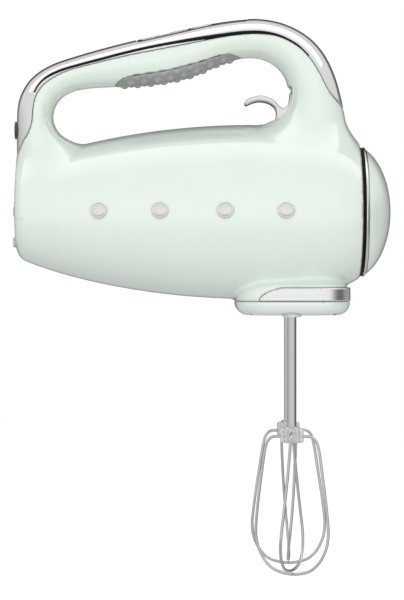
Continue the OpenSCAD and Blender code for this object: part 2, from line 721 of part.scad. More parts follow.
module at_beater(s) translate([beater_x, s * beater_y, 0]) children();
function beater_turn(s) = s > 0 ? 2 : 20;
module beater_wires(s) color("silver") at_beater(s) {
    wire_loop(beater_turn(s), 0);
    wire_loop(beater_turn(s) + 90, wire_d + 0.15);
}
module beater_shaft(s) color("silver") at_beater(s) {
    translate([0, 0, hub_top + 0.2]) cylinder(r = shaft_d / 2, h = shank_top - hub_top - 0.2, $fn = 64);
    translate([-0.6, -4.1, spindle_low + 0.6]) cube([1.2, 8.2, 7]);
}
module beater_hub(s) color("white") at_beater(s) rotate([0, 0, beater_turn(s)]) difference() {
    translate([0, 0, hub_low]) union() {
        linear_extrude(hub_top - hub_low) square([7.6, 7.6], center = true);
        for (a = [0, 90]) rotate([0, 0, a]) translate([-6.4, -1.7, 0])
            cube([12.8, 3.4, hub_top - hub_low - 1]);
    }
    for (a = [0, 90]) rotate([0, 0, a]) translate([0, 0, wire_z + (a > 0 ? wire_d + 0.15 : 0)])
        rotate([0, 90, 0]) cylinder(r = wire_d / 2 + 0.05, h = 20, center = true, $fn = 32);
}
module beater_shaft_left() beater_shaft(1);
module beater_hub_left() beater_hub(1);
module beater_wires_left() beater_wires(1);
module beater_shaft_right() beater_shaft(-1);
module beater_hub_right() beater_hub(-1);
module beater_wires_right() beater_wires(-1);

// ---------- fasteners ----------

module housing_screws() color("silver") for (b = bosses) translate([b[0], -b[2], b[1]]) rotate([90, 0, 0]) {
    difference() {
        cylinder(r = 2.6, h = 2, $fn = 32);
        translate([0, 0, 1]) cylinder(r = 1.3, h = 2, $fn = 6);
    }
    translate([0, 0, -b[2] - 6]) cylinder(r = 1.2, h = b[2] + 6.5, $fn = 32);
}
module foot_screws() color("silver") at_foot_screws() translate([0, 0, 0.2]) {
    difference() {
        cylinder(r = 2.6, h = 1, $fn = 32);
        translate([0, 0, -0.5]) cylinder(r = 1.3, h = 1, $fn = 6);
    }
    translate([0, 0, 1]) cylinder(r = 1.4, h = 12, $fn = 32);
}

housing_left();
housing_right();
handle_cover();
handle_seal();
grip_pad();
nose_cap();
nose_ring();
vent_ring();
foot_band();
foot_plate();
cord_gland();
heel_feet();
side_studs_left();
side_studs_right();
control_panel();
display_window();
turbo_button();
speed_rocker();
circuit_board();
board_parts();
eject_lever();
eject_pivot_pin();
ejector_plate();
ejector_spring();
motor_stator();
field_coils();
rear_bracket();
rear_bush();
middle_bush();
front_bush();
brush_holders();
carbon_brushes();
motor_screws();
motor_shaft();
armature_core();
armature_windings();
commutator();
cooling_fan();
worm();
gearbox_case();
gearbox_cover();
gearbox_screws();
spindle_bushes();
foot_bushes();
drive_gear_left();
spindle_left();
drive_gear_right();
spindle_right();
beater_shaft_left();
beater_hub_left();
beater_wires_left();
beater_shaft_right();
beater_hub_right();
beater_wires_right();
housing_screws();
foot_screws();
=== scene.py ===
"""Looks of a retro hand mixer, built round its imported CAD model.

Lengths are millimetres up to make(), which writes metres. X runs from heel to nose, Y to the left, Z up.
"""

import json
import math
from itertools import product

import bmesh
import bpy
import numpy as np
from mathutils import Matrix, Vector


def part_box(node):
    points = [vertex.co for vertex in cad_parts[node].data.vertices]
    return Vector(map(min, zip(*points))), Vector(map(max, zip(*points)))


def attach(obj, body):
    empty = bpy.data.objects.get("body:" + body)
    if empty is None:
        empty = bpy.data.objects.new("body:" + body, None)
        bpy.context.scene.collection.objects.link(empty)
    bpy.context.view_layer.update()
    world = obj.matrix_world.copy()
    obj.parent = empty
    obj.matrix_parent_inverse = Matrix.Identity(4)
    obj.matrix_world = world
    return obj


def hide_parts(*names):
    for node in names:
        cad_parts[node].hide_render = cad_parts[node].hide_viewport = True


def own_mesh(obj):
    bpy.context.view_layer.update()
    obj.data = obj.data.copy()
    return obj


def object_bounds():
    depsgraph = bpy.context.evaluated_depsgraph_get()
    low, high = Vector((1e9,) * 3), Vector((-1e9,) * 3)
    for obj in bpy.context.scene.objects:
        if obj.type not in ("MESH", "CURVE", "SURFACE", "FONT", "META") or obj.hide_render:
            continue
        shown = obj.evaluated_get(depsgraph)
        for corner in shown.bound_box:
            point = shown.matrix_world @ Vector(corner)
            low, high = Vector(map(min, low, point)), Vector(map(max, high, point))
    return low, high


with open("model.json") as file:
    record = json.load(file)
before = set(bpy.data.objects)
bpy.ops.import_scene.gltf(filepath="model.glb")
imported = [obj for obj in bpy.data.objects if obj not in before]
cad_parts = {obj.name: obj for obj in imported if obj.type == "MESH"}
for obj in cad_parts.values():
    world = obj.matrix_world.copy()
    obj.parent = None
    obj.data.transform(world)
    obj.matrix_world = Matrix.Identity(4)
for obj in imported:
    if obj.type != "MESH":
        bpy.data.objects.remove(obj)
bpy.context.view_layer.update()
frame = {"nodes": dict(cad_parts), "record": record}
nodes = frame["nodes"]
MM = 0.001

bpy.context.scene.view_settings.view_transform = "Standard"

# ---------- camera ----------

CAMERA_X, CAMERA_Z, CAMERA_Y = 0.104, -0.0309, -1.14
cam = bpy.data.objects.new("camera", bpy.data.cameras.new("camera"))
bpy.context.scene.collection.objects.link(cam)
cam.location = (CAMERA_X, CAMERA_Y, CAMERA_Z)
cam.rotation_euler = (math.pi / 2, 0, 0)
cam.data.lens = 123.0
cam.data.sensor_width = 36.0
cam.data.shift_y = -0.054
cam.data.clip_end = 60.0
bpy.context.scene.camera = cam

# ---------- curves and distances ----------


def curve(points, n):
    """A Catmull-Rom curve through points, n steps to each span."""
    p = np.array(points, float)
    out = []
    for i in range(len(p) - 1):
        a, b, c, d = p[max(0, i - 1)], p[i], p[i + 1], p[min(len(p) - 1, i + 2)]
        for j in range(n):
            t = j / n
            square, cube = 2 * a - 5 * b + 4 * c - d, 3 * b - a - 3 * c + d
            out.append(0.5 * (2 * b + (c - a) * t + square * t * t + cube * t ** 3))
    out.append(p[-1])
    return np.array(out)


def polygon_distance(q, poly):
    """Signed distance of points q (n, 2) from a closed polygon, positive inside."""
    q = np.asarray(q, float)
    best = np.full(len(q), 1e9)
    inside = np.zeros(len(q), bool)
    for a, b in zip(poly, np.roll(poly, -1, axis=0)):
        ab, aq = b - a, q - a
        t = np.clip((aq @ ab) / max(ab @ ab, 1e-12), 0, 1)
        best = np.minimum(best, ((aq - t[:, None] * ab) ** 2).sum(1))
        if a[1] != b[1]:
            cross = (q[:, 1] < a[1]) != (q[:, 1] < b[1])
            x = a[0] + (q[:, 1] - a[1]) * ab[0] / ab[1]
            inside ^= cross & (q[:, 0] < x)
    return np.where(inside, 1, -1) * np.sqrt(best)


def round_union(a, b, r):
    """The union of two levels, with a fillet of radius r."""
    u, v = np.maximum(r - a, 0), np.maximum(r - b, 0)
    return np.maximum(r, np.minimum(a, b)) - np.sqrt(u * u + v * v)


def round_cut(a, b, r):
    """What two levels share, with an edge of radius r."""
    u, v = np.maximum(r + a, 0), np.maximum(r + b, 0)
    return np.minimum(-r, np.maximum(a, b)) + np.sqrt(u * u + v * v)


def smooth(t):
    """A smooth step from 0 to 1."""
    t = np.clip(t, 0, 1)
    return t * t * (3 - 2 * t)


# ---------- the housing as a level function ----------

BODY_R, FLAT, BELLY_X, RING_X = 48.3, 0.93, 131.0, 193.0
HEEL_X, HEEL_CORNER = 1.2, 5.0
FRONT_X, NOSE_X = 191.3, 194.7
NOSE_MID, NOSE_LONG, NOSE_HIGH = 186, 22.6, 37.5  # centre and half axes of the nose's ellipse
SEAM_Z, FOOT_LOW = -49.2, -57.1
FOOT_MID, FOOT_L, FOOT_W, FOOT_CORNER = 153.7, 31.6, 33.5, 21.0
BEATER_X, BEATER_Y = 153.0, 22.0
PIVOT_X, PIVOT_Z = 151, 45  # the eject lever's pin
INLET_Z = 45.3
# how the radius falls off behind the belly and before it: square term, eighth power
REAR_TAPER, FRONT_TAPER = (0.441, 0.048), (0.1795, 0.0888)


def body_r(x):
    """Radius of the motor body at X."""
    rear = x < BELLY_X
    t = np.where(rear, (BELLY_X - x) / BELLY_X, (x - BELLY_X) / (RING_X - BELLY_X))
    k0, k1 = (np.where(rear, a, b) for a, b in zip(REAR_TAPER, FRONT_TAPER))
    return BODY_R * (1 - k0 * t ** 2 - k1 * t ** 8)


def body_level(p):
    x, y, z = p.T
    q = np.sqrt((y / FLAT) ** 2 + z ** 2) + 1e-9
    slope = body_r(x + 0.5) - body_r(x - 0.5)
    g = np.sqrt((y / FLAT ** 2 / q) ** 2 + (z / q) ** 2 + slope ** 2)
    return round_cut((q - body_r(x)) / g, HEEL_X - x, HEEL_CORNER)


# sections of the handle: outer and inner point (X, Z), half width; both ends run on inside the body
HANDLE = [
    ((2.0, -5), (42, -5), 20), ((1.2, 10), (40, 13), 18.5),
    ((1.2, 22), (36, 26), 17), ((1.2, 33), (31, 37.5), 15.5), ((1.1, 43), (24.2, 44.5), 14.3),
    ((1.2, 51), (21.3, 51.5), 13.6), ((1.7, 59), (22.6, 58.5), 13.4), ((4, 66.5), (26, 63.2), 13.2),
    ((9.6, 74.6), (31.5, 66.6), 13.2), ((20, 81.6), (38, 68.2), 13.2), ((36, 87.1), (45.5, 69), 13.4),
    ((58, 93.2), (62.5, 69.9), 13.8), ((75, 97.2), (80.5, 71.6), 14), ((92, 101.1), (97.7, 75.3), 14),
    ((108, 104.4), (112.5, 81.6), 13.8), ((122, 106.5), (124, 85), 13.6), ((136, 107.2), (134, 85.4), 13.6),
    ((150, 104.4), (141, 83.2), 13.8), ((163, 97.4), (146.6, 79.2), 14.2), ((172, 87.5), (150.3, 73.6), 14.8),
    ((178, 75), (152, 66.5), 15.6), ((181.6, 62), (150.8, 59), 16.6), ((183.5, 52), (146.8, 53.2), 18),
    ((185.6, 43), (140.5, 47.6), 20), ((187, 34), (130, 38), 22), ((186.5, 20), (126, 22), 24),
    ((186, 0), (126, 0), 25),
]


def handle_table():
    """Place along the section (u), half length and half width on a 1 mm grid in X and Z."""
    rows = curve([[*a, *b, w] for a, b, w in HANDLE], 16)
    blur = np.array([1, 4, 6, 4, 1]) / 16
    for _ in range(5):
        wide = np.vstack([rows[:1], rows[:1], rows, rows[-1:], rows[-1:]])
        rows = sum(wide[i:i + len(rows)] * blur[i] for i in range(5))
    out, inn, w = rows[:, 0:2], rows[:, 2:4], rows[:, 4]
    mid, half = (out + inn) / 2, (out - inn) / 2
    h = np.linalg.norm(half, axis=1)
    d = half / h[:, None]
    xs, zs = np.arange(-12, 206.0), np.arange(-12, 122.0)
    gx, gz = np.meshgrid(xs, zs, indexing="ij")
    dx, dz = gx[..., None] - mid[:, 0], gz[..., None] - mid[:, 1]
    across = d[:, 0] * dz - d[:, 1] * dx
    along = (dx * d[:, 0] + dz * d[:, 1]) / h
    c0, c1 = across[..., :-1], across[..., 1:]
    t = np.clip(c0 / np.where(np.abs(c0 - c1) < 1e-9, 1, c0 - c1), 0, 1)
    u = along[..., :-1] * (1 - t) + along[..., 1:] * t
    cost = np.where(c0 * c1 <= 0, np.abs(u), 99)
    k = cost.argmin(-1)[..., None]
    pick = lambda a: np.take_along_axis(a, k, -1)[..., 0]
    tt = pick(t)
    kk = k[..., 0]
    found = pick(cost) < 90
    u = np.where(found, np.clip(pick(u), -4, 4), 4)
    hh, ww = (a[kk] * (1 - tt) + a[kk + 1] * tt for a in (h, w))
    return xs[0], zs[0], np.stack([u, hh, ww], -1)


TABLE_X, TABLE_Z, TABLE = handle_table()


def table_at(x, z):
    """Cubic B-spline lookup in the handle's table."""
    fx = np.clip(x - TABLE_X, 1.001, TABLE.shape[0] - 3.001)
    fz = np.clip(z - TABLE_Z, 1.001, TABLE.shape[1] - 3.001)
    ix, iz = fx.astype(int), fz.astype(int)
    tx, tz = fx - ix, fz - iz

    def weights(t):
        near, next_ = 3 * t ** 3 - 6 * t * t + 4, -3 * t ** 3 + 3 * t * t + 3 * t + 1
        return ((1 - t) ** 3 / 6, near / 6, next_ / 6, t ** 3 / 6)

    out = 0
    for i, a in enumerate(weights(tx)):
        for j, b in enumerate(weights(tz)):
            out = out + (a * b)[:, None] * TABLE[ix + i - 1, iz + j - 1]
    return out


def handle_level(p):
    u, h, w = table_at(p[:, 0], p[:, 2]).T
    a, v = u, p[:, 1] / w
    k0 = np.sqrt(a * a + v * v) + 1e-9
    k1 = np.sqrt((a / h) ** 2 + (v / w) ** 2) + 1e-9
    return k0 * (k0 - 1) / k1


def plan_distance(p):
    """Distance outside the foot's plan."""
    qx = np.abs(p[:, 0] - FOOT_MID) - (FOOT_L - FOOT_CORNER)
    qy = np.abs(p[:, 1]) - (FOOT_W - FOOT_CORNER)
    return np.hypot(np.maximum(qx, 0), np.maximum(qy, 0)) + np.minimum(np.maximum(qx, qy), 0) - FOOT_CORNER


SHOULDER_Z, SHOULDER_IN, SHOULDER_H = -42.0, 15.0, 10.0
SHOULDER_SCALE, SHOULDER_ROUND = 0.555, 3.0


def foot_level(p):
    """The foot: its plan drawn down, under a sloping shoulder."""
    d = plan_distance(p)
    cone = (d + SHOULDER_IN * (p[:, 2] - SHOULDER_Z) / SHOULDER_H) * SHOULDER_SCALE
    return round_cut(d, cone, SHOULDER_ROUND)


FILLET, FOOT_FILLET = 9.0, 2.6
POCKET_DEPTH, POCKET_W, POCKET_REAR, POCKET_FRONT = 0.9, 15.5, 131, 165


def housing_level(p):
    """Body, handle and foot in one, with a shallow landing for the lever."""
    body, handle = body_level(p), handle_level(p)
    f = np.maximum(round_union(body, handle, FILLET), HEEL_X - p[:, 0])
    inside = np.min([POCKET_W - np.abs(p[:, 1]), (p[:, 0] - POCKET_REAR) * 0.2, POCKET_FRONT - p[:, 0]], axis=0)
    f = f + POCKET_DEPTH * smooth(inside / 1.2) * smooth((handle - 2.5) / 3) * smooth((p[:, 2] - 30) / 3)
    return round_union(f, foot_level(p), FOOT_FILLET)


# ---------- meshes from level functions ----------

BATCH = 200000  # points to a call of a level function


def gradient(level, p, h=0.15):
    out = np.empty_like(p)
    for i in range(3):
        e = np.zeros(3)
        e[i] = h
        out[:, i] = (level(p + e) - level(p - e)) / (2 * h)
    return out


def project(level, p, steps=3):
    """Moves points along the gradient on to the level's surface."""
    for _ in range(steps):
        g = gradient(level, p)
        p = p - g * (level(p) / np.maximum((g * g).sum(1), 0.05))[:, None]
    return p


def unit(v):
    return v / np.maximum(np.linalg.norm(v, axis=-1, keepdims=True), 1e-12)


def net(level, low, high, step):
    """A triangle mesh of the zero level in a box: surface nets, evened out and put back on the level."""
    axes = [np.arange(a, b + step, step) for a, b in zip(low, high)]
    grid = np.stack(np.meshgrid(*axes, indexing="ij"), -1)
    shape = grid.shape[:3]
    flat = grid.reshape(-1, 3)
    parts = np.array_split(flat, max(1, len(flat) // BATCH))
    f = np.concatenate([level(part) for part in parts]).reshape(shape)
    s = f < 0
    corner = {c: tuple(slice(a, n - 1 + a) for a, n in zip(c, shape)) for c in product((0, 1), repeat=3)}
    count = sum(s[c].astype(int) for c in corner.values())
    cells = np.argwhere((count > 0) & (count < 8))
    index = np.full([n - 1 for n in shape], -1)
    index[tuple(cells.T)] = np.arange(len(cells))
    total, hits = np.zeros((len(cells), 3)), np.zeros(len(cells))
    for c in corner:
        for axis in range(3):
            if c[axis]:
                continue
            e = np.array(c)
            e2 = e.copy()
            e2[axis] = 1
            fa, fb = f[tuple((cells + e).T)], f[tuple((cells + e2).T)]
            cross = (fa < 0) != (fb < 0)
            t = np.where(cross, fa / np.where(cross, fa - fb, 1), 0)
            pt = e + np.outer(t, e2 - e)
            total += np.where(cross[:, None], pt, 0)
            hits += cross
    v = np.array(low) + step * (cells + total / np.maximum(hits, 1)[:, None])
    quads = []
    for axis in range(3):
        b, c = [(1, 2), (2, 0), (0, 1)][axis]
        lo = [slice(1, n - 1) for n in shape]
        lo[axis] = slice(0, shape[axis] - 1)
        hi = list(lo)
        hi[axis] = slice(1, shape[axis])
        sa, sb = s[tuple(lo)], s[tuple(hi)]
        at = np.argwhere(sa != sb)
        at = at + np.array([part.start for part in lo])
        flip = s[tuple(at.T)]
        eb, ec = np.eye(3, dtype=int)[b], np.eye(3, dtype=int)[c]
        q = np.stack([index[tuple((at - d).T)] for d in (eb + ec, ec, 0 * eb, eb)], 1)
        q = np.where(flip[:, None], q, q[:, ::-1])
        quads.append(q)
    q = np.vstack(quads)
    q = q[(q >= 0).all(1)]
    tri = np.vstack([q[:, [0, 1, 2]], q[:, [0, 2, 3]]])
    for _ in range(3):
        v = project(level, v, 1)
        v = relax(v, tri, level)
    return project(level, v, 2), tri


def relax(v, tri, level):
    """Moves each vertex part of the way to its neighbours' middle, along the surface."""
    total, n = np.zeros_like(v), np.zeros(len(v))
    for a, b in ((0, 1), (1, 2), (2, 0), (1, 0), (2, 1), (0, 2)):
        np.add.at(total, tri[:, a], v[tri[:, b]])
        np.add.at(n, tri[:, a], 1)
    move = total / np.maximum(n, 1)[:, None] - v
    normal = unit(gradient(level, v))
    return v + 0.6 * (move - normal * (move * normal).sum(1)[:, None])


def split(v, tri, field, level, value=0.0):
    """Cuts the triangles along field == value. Returns the mesh and which triangles lie above."""
    g = field(v) - value
    edge = np.linalg.norm(v[tri[:, 0]] - v[tri[:, 1]], axis=1).mean()
    near = np.abs(g) < 0.22 * edge
    if near.any():
        q = v[near]
        n = unit(gradient(level, q))
        d = gradient(field, q, 0.05)
        d = d - n * (d * n).sum(1)[:, None]
        size = (d * d).sum(1)
        move = -d * (g[near] / np.maximum(size, 0.04))[:, None]
        ok = np.linalg.norm(move, axis=1) < 0.45 * edge
        q = q + np.where(ok[:, None], move, 0)
        v = v.copy()
        v[near] = q
        gn = g[near]
        gn[ok] = 0
        g[near] = gn
    s = np.sign(g)
    t = s[tri]
    mixed = (t.max(1) > 0) & (t.min(1) < 0)
    m, ts = tri[mixed], t[mixed]
    zero = (ts == 0).any(1)
    # roll each so that the lone vertex, or the one on the line, comes first
    lone = np.where(zero, (ts == 0).argmax(1), (ts == -ts.sum(1, keepdims=True)).argmax(1))
    m = np.take_along_axis(m, (lone[:, None] + np.arange(3)) % 3, 1)
    a, b, c = m.T
    za, zb, zc = a[zero], b[zero], c[zero]
    na, nb, nc = a[~zero], b[~zero], c[~zero]
    pairs = np.vstack([np.column_stack([zb, zc]), np.column_stack([na, nb]), np.column_stack([na, nc])])
    if len(pairs) == 0:
        return v, tri, s[tri].sum(1) > 0
    keys, back = np.unique(np.sort(pairs, 1), axis=0, return_inverse=True)
    back = back.reshape(-1)
    ga, gb = g[keys[:, 0]], g[keys[:, 1]]
    w = (ga / (ga - gb))[:, None]
    new = v[keys[:, 0]] * (1 - w) + v[keys[:, 1]] * w
    back = back + len(v)
    k, kn = len(zb), len(na)
    zp, p, q = back[:k], back[k:k + kn], back[k + kn:]
    tri = np.vstack([
        tri[~mixed],
        np.column_stack([za, zb, zp]), np.column_stack([za, zp, zc]),
        np.column_stack([na, p, q]), np.column_stack([p, nb, nc]), np.column_stack([p, nc, q]),
    ])
    v = np.vstack([v, project(level, new, 1)])
    g = np.concatenate([g, np.zeros(len(new))])
    return v, tri, np.sign(g)[tri].sum(1) > 0


def compact(v, tri):
    """Drops the vertices that no triangle uses."""
    used, back = np.unique(tri, return_inverse=True)
    return v[used], back.reshape(tri.shape)


def make(name, v, faces, material, body="housing", normals=None, smooth_angle=40):
    """A Blender mesh from millimetres, riding on a body."""
    mesh = bpy.data.meshes.new(name)
    mesh.from_pydata((np.asarray(v, float) * MM).tolist(), [], [list(map(int, f)) for f in faces])
    mesh.validate(clean_customdata=False)
    obj = bpy.data.objects.new(name, mesh)
    bpy.context.scene.collection.objects.link(obj)
    mesh.materials.append(material)
    mesh.shade_smooth()
    if normals is not None and len(normals) == len(mesh.loops):
        mesh.normals_split_custom_set(normals)
    elif smooth_angle:
        mesh.set_sharp_from_angle(angle=math.radians(smooth_angle))
    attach(obj, body)
    return obj


def skin_piece(name, base, fields, material, level=housing_level, edge=0.5, depth=2.2, keep=None, guides=()):
    """A closed piece of wall: the base surface inside every field, with rounded edges and a thickness.

    The mesh is only cut along the guides, so that a slit narrower than a triangle keeps its line.
    """
    v, tri = base
    if keep is not None:
        tri = tri[keep(v)[tri].all(1)]
        v, tri = compact(v, tri)
    for field in guides:
        v, tri, _ = split(v, tri, field, level)
    for field in fields:
        v, tri, above = split(v, tri, field, level)
        v, tri = compact(v, tri[above])
    nearest = lambda p: np.min([f(p) for f in fields], axis=0)
    for share in (1.0, 0.62, 0.3, 0.09):
        v, tri, _ = split(v, tri, nearest, level, share * edge)
    v = project(level, v, 1)
    n = unit(gradient(level, v))
    g = np.maximum(nearest(v), 0)
    b = gradient(nearest, v, 0.05)
    b = b - n * (b * n).sum(1)[:, None]
    size = np.linalg.norm(b, axis=1)
    g = g / np.clip(size, 0.4, 1.5)
    b = unit(b)
    cos = np.clip(1 - g / edge, 0, 1)
    sin = np.sqrt(1 - cos ** 2)
    outer = v - n * (edge * (1 - sin))[:, None]
    outer_n = unit(n * sin[:, None] - b * cos[:, None])
    inner = v - n * depth
    count = len(v)
    # rim: the edges that only one triangle uses
    e = np.vstack([tri[:, [0, 1]], tri[:, [1, 2]], tri[:, [2, 0]]])
    key = np.sort(e, 1)
    _, first, times = np.unique(key, axis=0, return_index=True, return_counts=True)
    rim = e[first[times == 1]]
    rim_faces = np.column_stack([rim[:, 1], rim[:, 0], rim[:, 0] + count, rim[:, 1] + count])
    faces = [*tri.tolist(), *(tri[:, ::-1] + count).tolist(), *rim_faces.tolist()]
    normals = np.vstack([
        outer_n[tri.reshape(-1)], -n[tri[:, ::-1].reshape(-1)],
        np.repeat(unit(-b[rim].sum(1)), 4, axis=0),
    ])
    return make(name, np.vstack([outer, inner]), faces, material, normals=normals)


# ---------- materials ----------


def set_inputs(node, **values):
    """Sets a node's inputs by name, with an underscore for each space."""
    for name, value in values.items():
        node.inputs[name.replace("_", " ")].default_value = value


def material(name, color, rough, metal=0.0, vary=0.03, scale=45.0, rough_vary=0.04, grain=0.0,
             grain_scale=900.0, stretch=(1, 1, 1), coat=0.0, coat_ior=1.5, ior=1.5, clear=0.0, scatter=0.0,
             aniso=0.0, second=None, waves=None):
    """A procedural finish: clouded colour and roughness, fine grain, optional stripes in a second colour."""
    mat = bpy.data.materials.new(name)
    mat.use_nodes = True
    tree = mat.node_tree
    add, link = tree.nodes.new, tree.links.new
    bsdf = tree.nodes["Principled BSDF"]
    set_inputs(bsdf, Metallic=metal, IOR=ior, Coat_Weight=coat, Coat_Roughness=0.05, Coat_IOR=coat_ior,
               Transmission_Weight=clear, Subsurface_Weight=scatter, Subsurface_Radius=(0.003, 0.003, 0.003),
               Subsurface_Scale=1.0, Anisotropic=aniso)
    where = add("ShaderNodeTexCoord")
    mapping = add("ShaderNodeMapping")
    set_inputs(mapping, Scale=stretch)
    link(where.outputs["Object"], mapping.inputs["Vector"])
    cloud = add("ShaderNodeTexNoise")
    set_inputs(cloud, Scale=scale, Detail=5.0, Roughness=0.6)
    link(mapping.outputs["Vector"], cloud.inputs["Vector"])
    ramp = add("ShaderNodeValToRGB")
    ramp.color_ramp.elements[0].position = 0.3
    ramp.color_ramp.elements[1].position = 0.7
    other = second or tuple(min(1, c * (1 + vary)) for c in color)
    ramp.color_ramp.elements[0].color = (*(c * (1 - vary) for c in color), 1)
    ramp.color_ramp.elements[1].color = (*other, 1)
    source = cloud.outputs["Fac"]
    if waves:
        wave = add("ShaderNodeTexWave")
        wave.bands_direction = waves[0]
        set_inputs(wave, Scale=waves[1], Distortion=0.4)
        link(where.outputs["Object"], wave.inputs["Vector"])
        source = wave.outputs["Fac"]
    link(source, ramp.inputs["Fac"])
    link(ramp.outputs["Color"], bsdf.inputs["Base Color"])
    level = add("ShaderNodeMapRange")
    set_inputs(level, To_Min=max(0.0, rough - rough_vary), To_Max=rough + rough_vary)
    link(cloud.outputs["Fac"], level.inputs["Value"])
    link(level.outputs["Result"], bsdf.inputs["Roughness"])
    if grain or waves:
        fine = add("ShaderNodeTexNoise")
        set_inputs(fine, Scale=grain_scale, Detail=3.0)
        link(mapping.outputs["Vector"], fine.inputs["Vector"])
        bump = add("ShaderNodeBump")
        set_inputs(bump, Strength=grain or 0.5, Distance=0.0004)
        link(source if waves else fine.outputs["Fac"], bump.inputs["Height"])
        link(bump.outputs["Normal"], bsdf.inputs["Normal"])
    return mat


FINISHES = {
    "housing_green": dict(color=(0.718, 0.805, 0.732), rough=0.3, vary=0.012, rough_vary=0.03, grain=0.02,
                          grain_scale=260.0, coat=1.0, coat_ior=1.85),
    "chrome_trim": dict(color=(0.77, 0.77, 0.77), rough=0.09, metal=1.0, vary=0.02, rough_vary=0.03),
    "brushed_band": dict(color=(0.86, 0.86, 0.86), rough=0.2, metal=1.0, vary=0.05, scale=60.0, grain=0.08,
                         grain_scale=500.0, stretch=(0.06, 0.06, 9.0), aniso=0.4),
    # black_seal colours the vent ring, and the handle's black strip, which is painted dark reflection
    "black_seal": dict(color=(0.006, 0.006, 0.006), rough=0.5, vary=0.1, grain=0.05, ior=1.2),
    "grip_rubber": dict(color=(0.33, 0.33, 0.33), rough=0.55, vary=0.06, grain=0.25, grain_scale=1500.0),
    "gland_rubber": dict(color=(0.05, 0.05, 0.052), rough=0.5, vary=0.1, grain=0.2, grain_scale=1500.0),
    "heel_rubber": dict(color=(0.5, 0.5, 0.49), rough=0.6, vary=0.05, grain=0.2, grain_scale=1500.0),
    "panel_black": dict(color=(0.015, 0.015, 0.017), rough=0.16, vary=0.1, coat=0.6),
    "display_smoke": dict(color=(0.02, 0.025, 0.028), rough=0.06, vary=0.1, coat=1.0),
    "key_grey": dict(color=(0.6, 0.6, 0.6), rough=0.38, vary=0.03, grain=0.1, grain_scale=1500.0),
    "board_green": dict(color=(0.02, 0.12, 0.05), rough=0.35, vary=0.2, scale=300.0, grain=0.2),
    "board_black": dict(color=(0.02, 0.02, 0.02), rough=0.4, vary=0.2, grain=0.2),
    "steel": dict(color=(0.62, 0.62, 0.63), rough=0.22, metal=1.0, vary=0.05, grain=0.05, stretch=(1, 1, 6)),
    "spring_steel": dict(color=(0.5, 0.5, 0.52), rough=0.28, metal=1.0, vary=0.06, grain=0.05),
    "ejector_nylon": dict(color=(0.74, 0.74, 0.72), rough=0.42, vary=0.03, grain=0.1, scatter=0.1),
    "lamination": dict(color=(0.2, 0.2, 0.21), rough=0.4, metal=1.0, second=(0.42, 0.42, 0.43),
                       waves=("X", 320.0)),
    "copper_wire": dict(color=(0.42, 0.15, 0.06), rough=0.3, metal=1.0, second=(0.75, 0.34, 0.16),
                        waves=("Z", 260.0)),
    "zinc": dict(color=(0.45, 0.46, 0.48), rough=0.45, metal=1.0, vary=0.12, scale=140.0, grain=0.2),
    "bronze": dict(color=(0.5, 0.34, 0.14), rough=0.42, metal=1.0, vary=0.1, scale=300.0, grain=0.3),
    "carbon": dict(color=(0.03, 0.03, 0.03), rough=0.6, vary=0.2, scale=400.0, grain=0.3),
    "case_nylon": dict(color=(0.11, 0.11, 0.115), rough=0.5, vary=0.08, grain=0.25, grain_scale=1200.0),
    "gear_acetal": dict(color=(0.75, 0.72, 0.62), rough=0.4, vary=0.03, grain=0.08, scatter=0.1),
    "beater_steel": dict(color=(0.56, 0.56, 0.56), rough=0.12, metal=1.0, vary=0.03, rough_vary=0.04),
    "hub_nylon": dict(color=(0.8, 0.8, 0.79), rough=0.3, vary=0.02, clear=0.35, scatter=0.4, grain=0.04),
}
MATERIALS = {name: material(name, **look) for name, look in FINISHES.items()}
slot_of = {row["node"]: row["material_slot"] for row in frame["record"]["subparts"]}
for node_name, obj in nodes.items():
    obj.data.materials.clear()
    obj.data.materials.append(MATERIALS[slot_of[node_name]])


def stand_for(obj, node):
    """Lets a piece take a CAD node's place."""
    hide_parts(node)
    return obj


# ---------- lines on the housing, seen from the side (X, Z) ----------

TRIM_EDGE = [
    (-3, 26), (2, 33), (5, 38.6), (8, 43.2), (10.2, 49), (10.8, 56), (12.2, 63), (15.6, 68.6), (21.4, 73.4),
    (29.9, 77.6), (42.6, 81.1), (63.8, 86.2), (85.2, 90.3), (102, 93.6), (120.5, 96.8), (134.8, 97.8),
    (146, 96.4), (156, 91.5), (163, 85), (168.6, 76.8), (172.9, 68.4), (177, 62.8), (184, 56.5),
]
# middle line of the handle's black strip: painted reflection, black put where the trim's crease shows a dark
# reflection
REFLECTION_STRIP_LINE = [
    (11.5, 65.4), (14, 69.9), (18.5, 74.1), (26.5, 77.9), (37.9, 81.2), (49, 84.1), (60.2, 87.1), (75.4, 90.6),
    (92, 93.6), (104, 95.4), (113.4, 96.6), (126, 98.1), (136, 98.4), (144, 97.3), (150.2, 95.1), (157, 91.3),
    (163, 85.5),
]
GRIP_EDGE = [
    (55.5, 68), (57.3, 70.6), (60.8, 72.6), (65.5, 74.4), (75, 75.9), (85, 77.5), (94.9, 80), (104.8, 82.7),
    (112, 85.1), (119.4, 86.2), (126.4, 84.5),
]
BAND_EDGE = [(134.6, SEAM_Z), (136.2, -46.4), (140.5, -43.8), (147, -41.8)]


def strip(line, half):
    """The outline of a band along a line, with a half width at each point."""
    d = np.gradient(line, axis=0)
    side = unit(np.column_stack([-d[:, 1], d[:, 0]])) * half[:, None]
    return np.vstack([line + side, (line - side)[::-1]])


def region(poly):
    """Distance inside an outline drawn in X and Z."""
    poly = np.array(poly, float)
    return lambda p: polygon_distance(p[:, [0, 2]], poly)
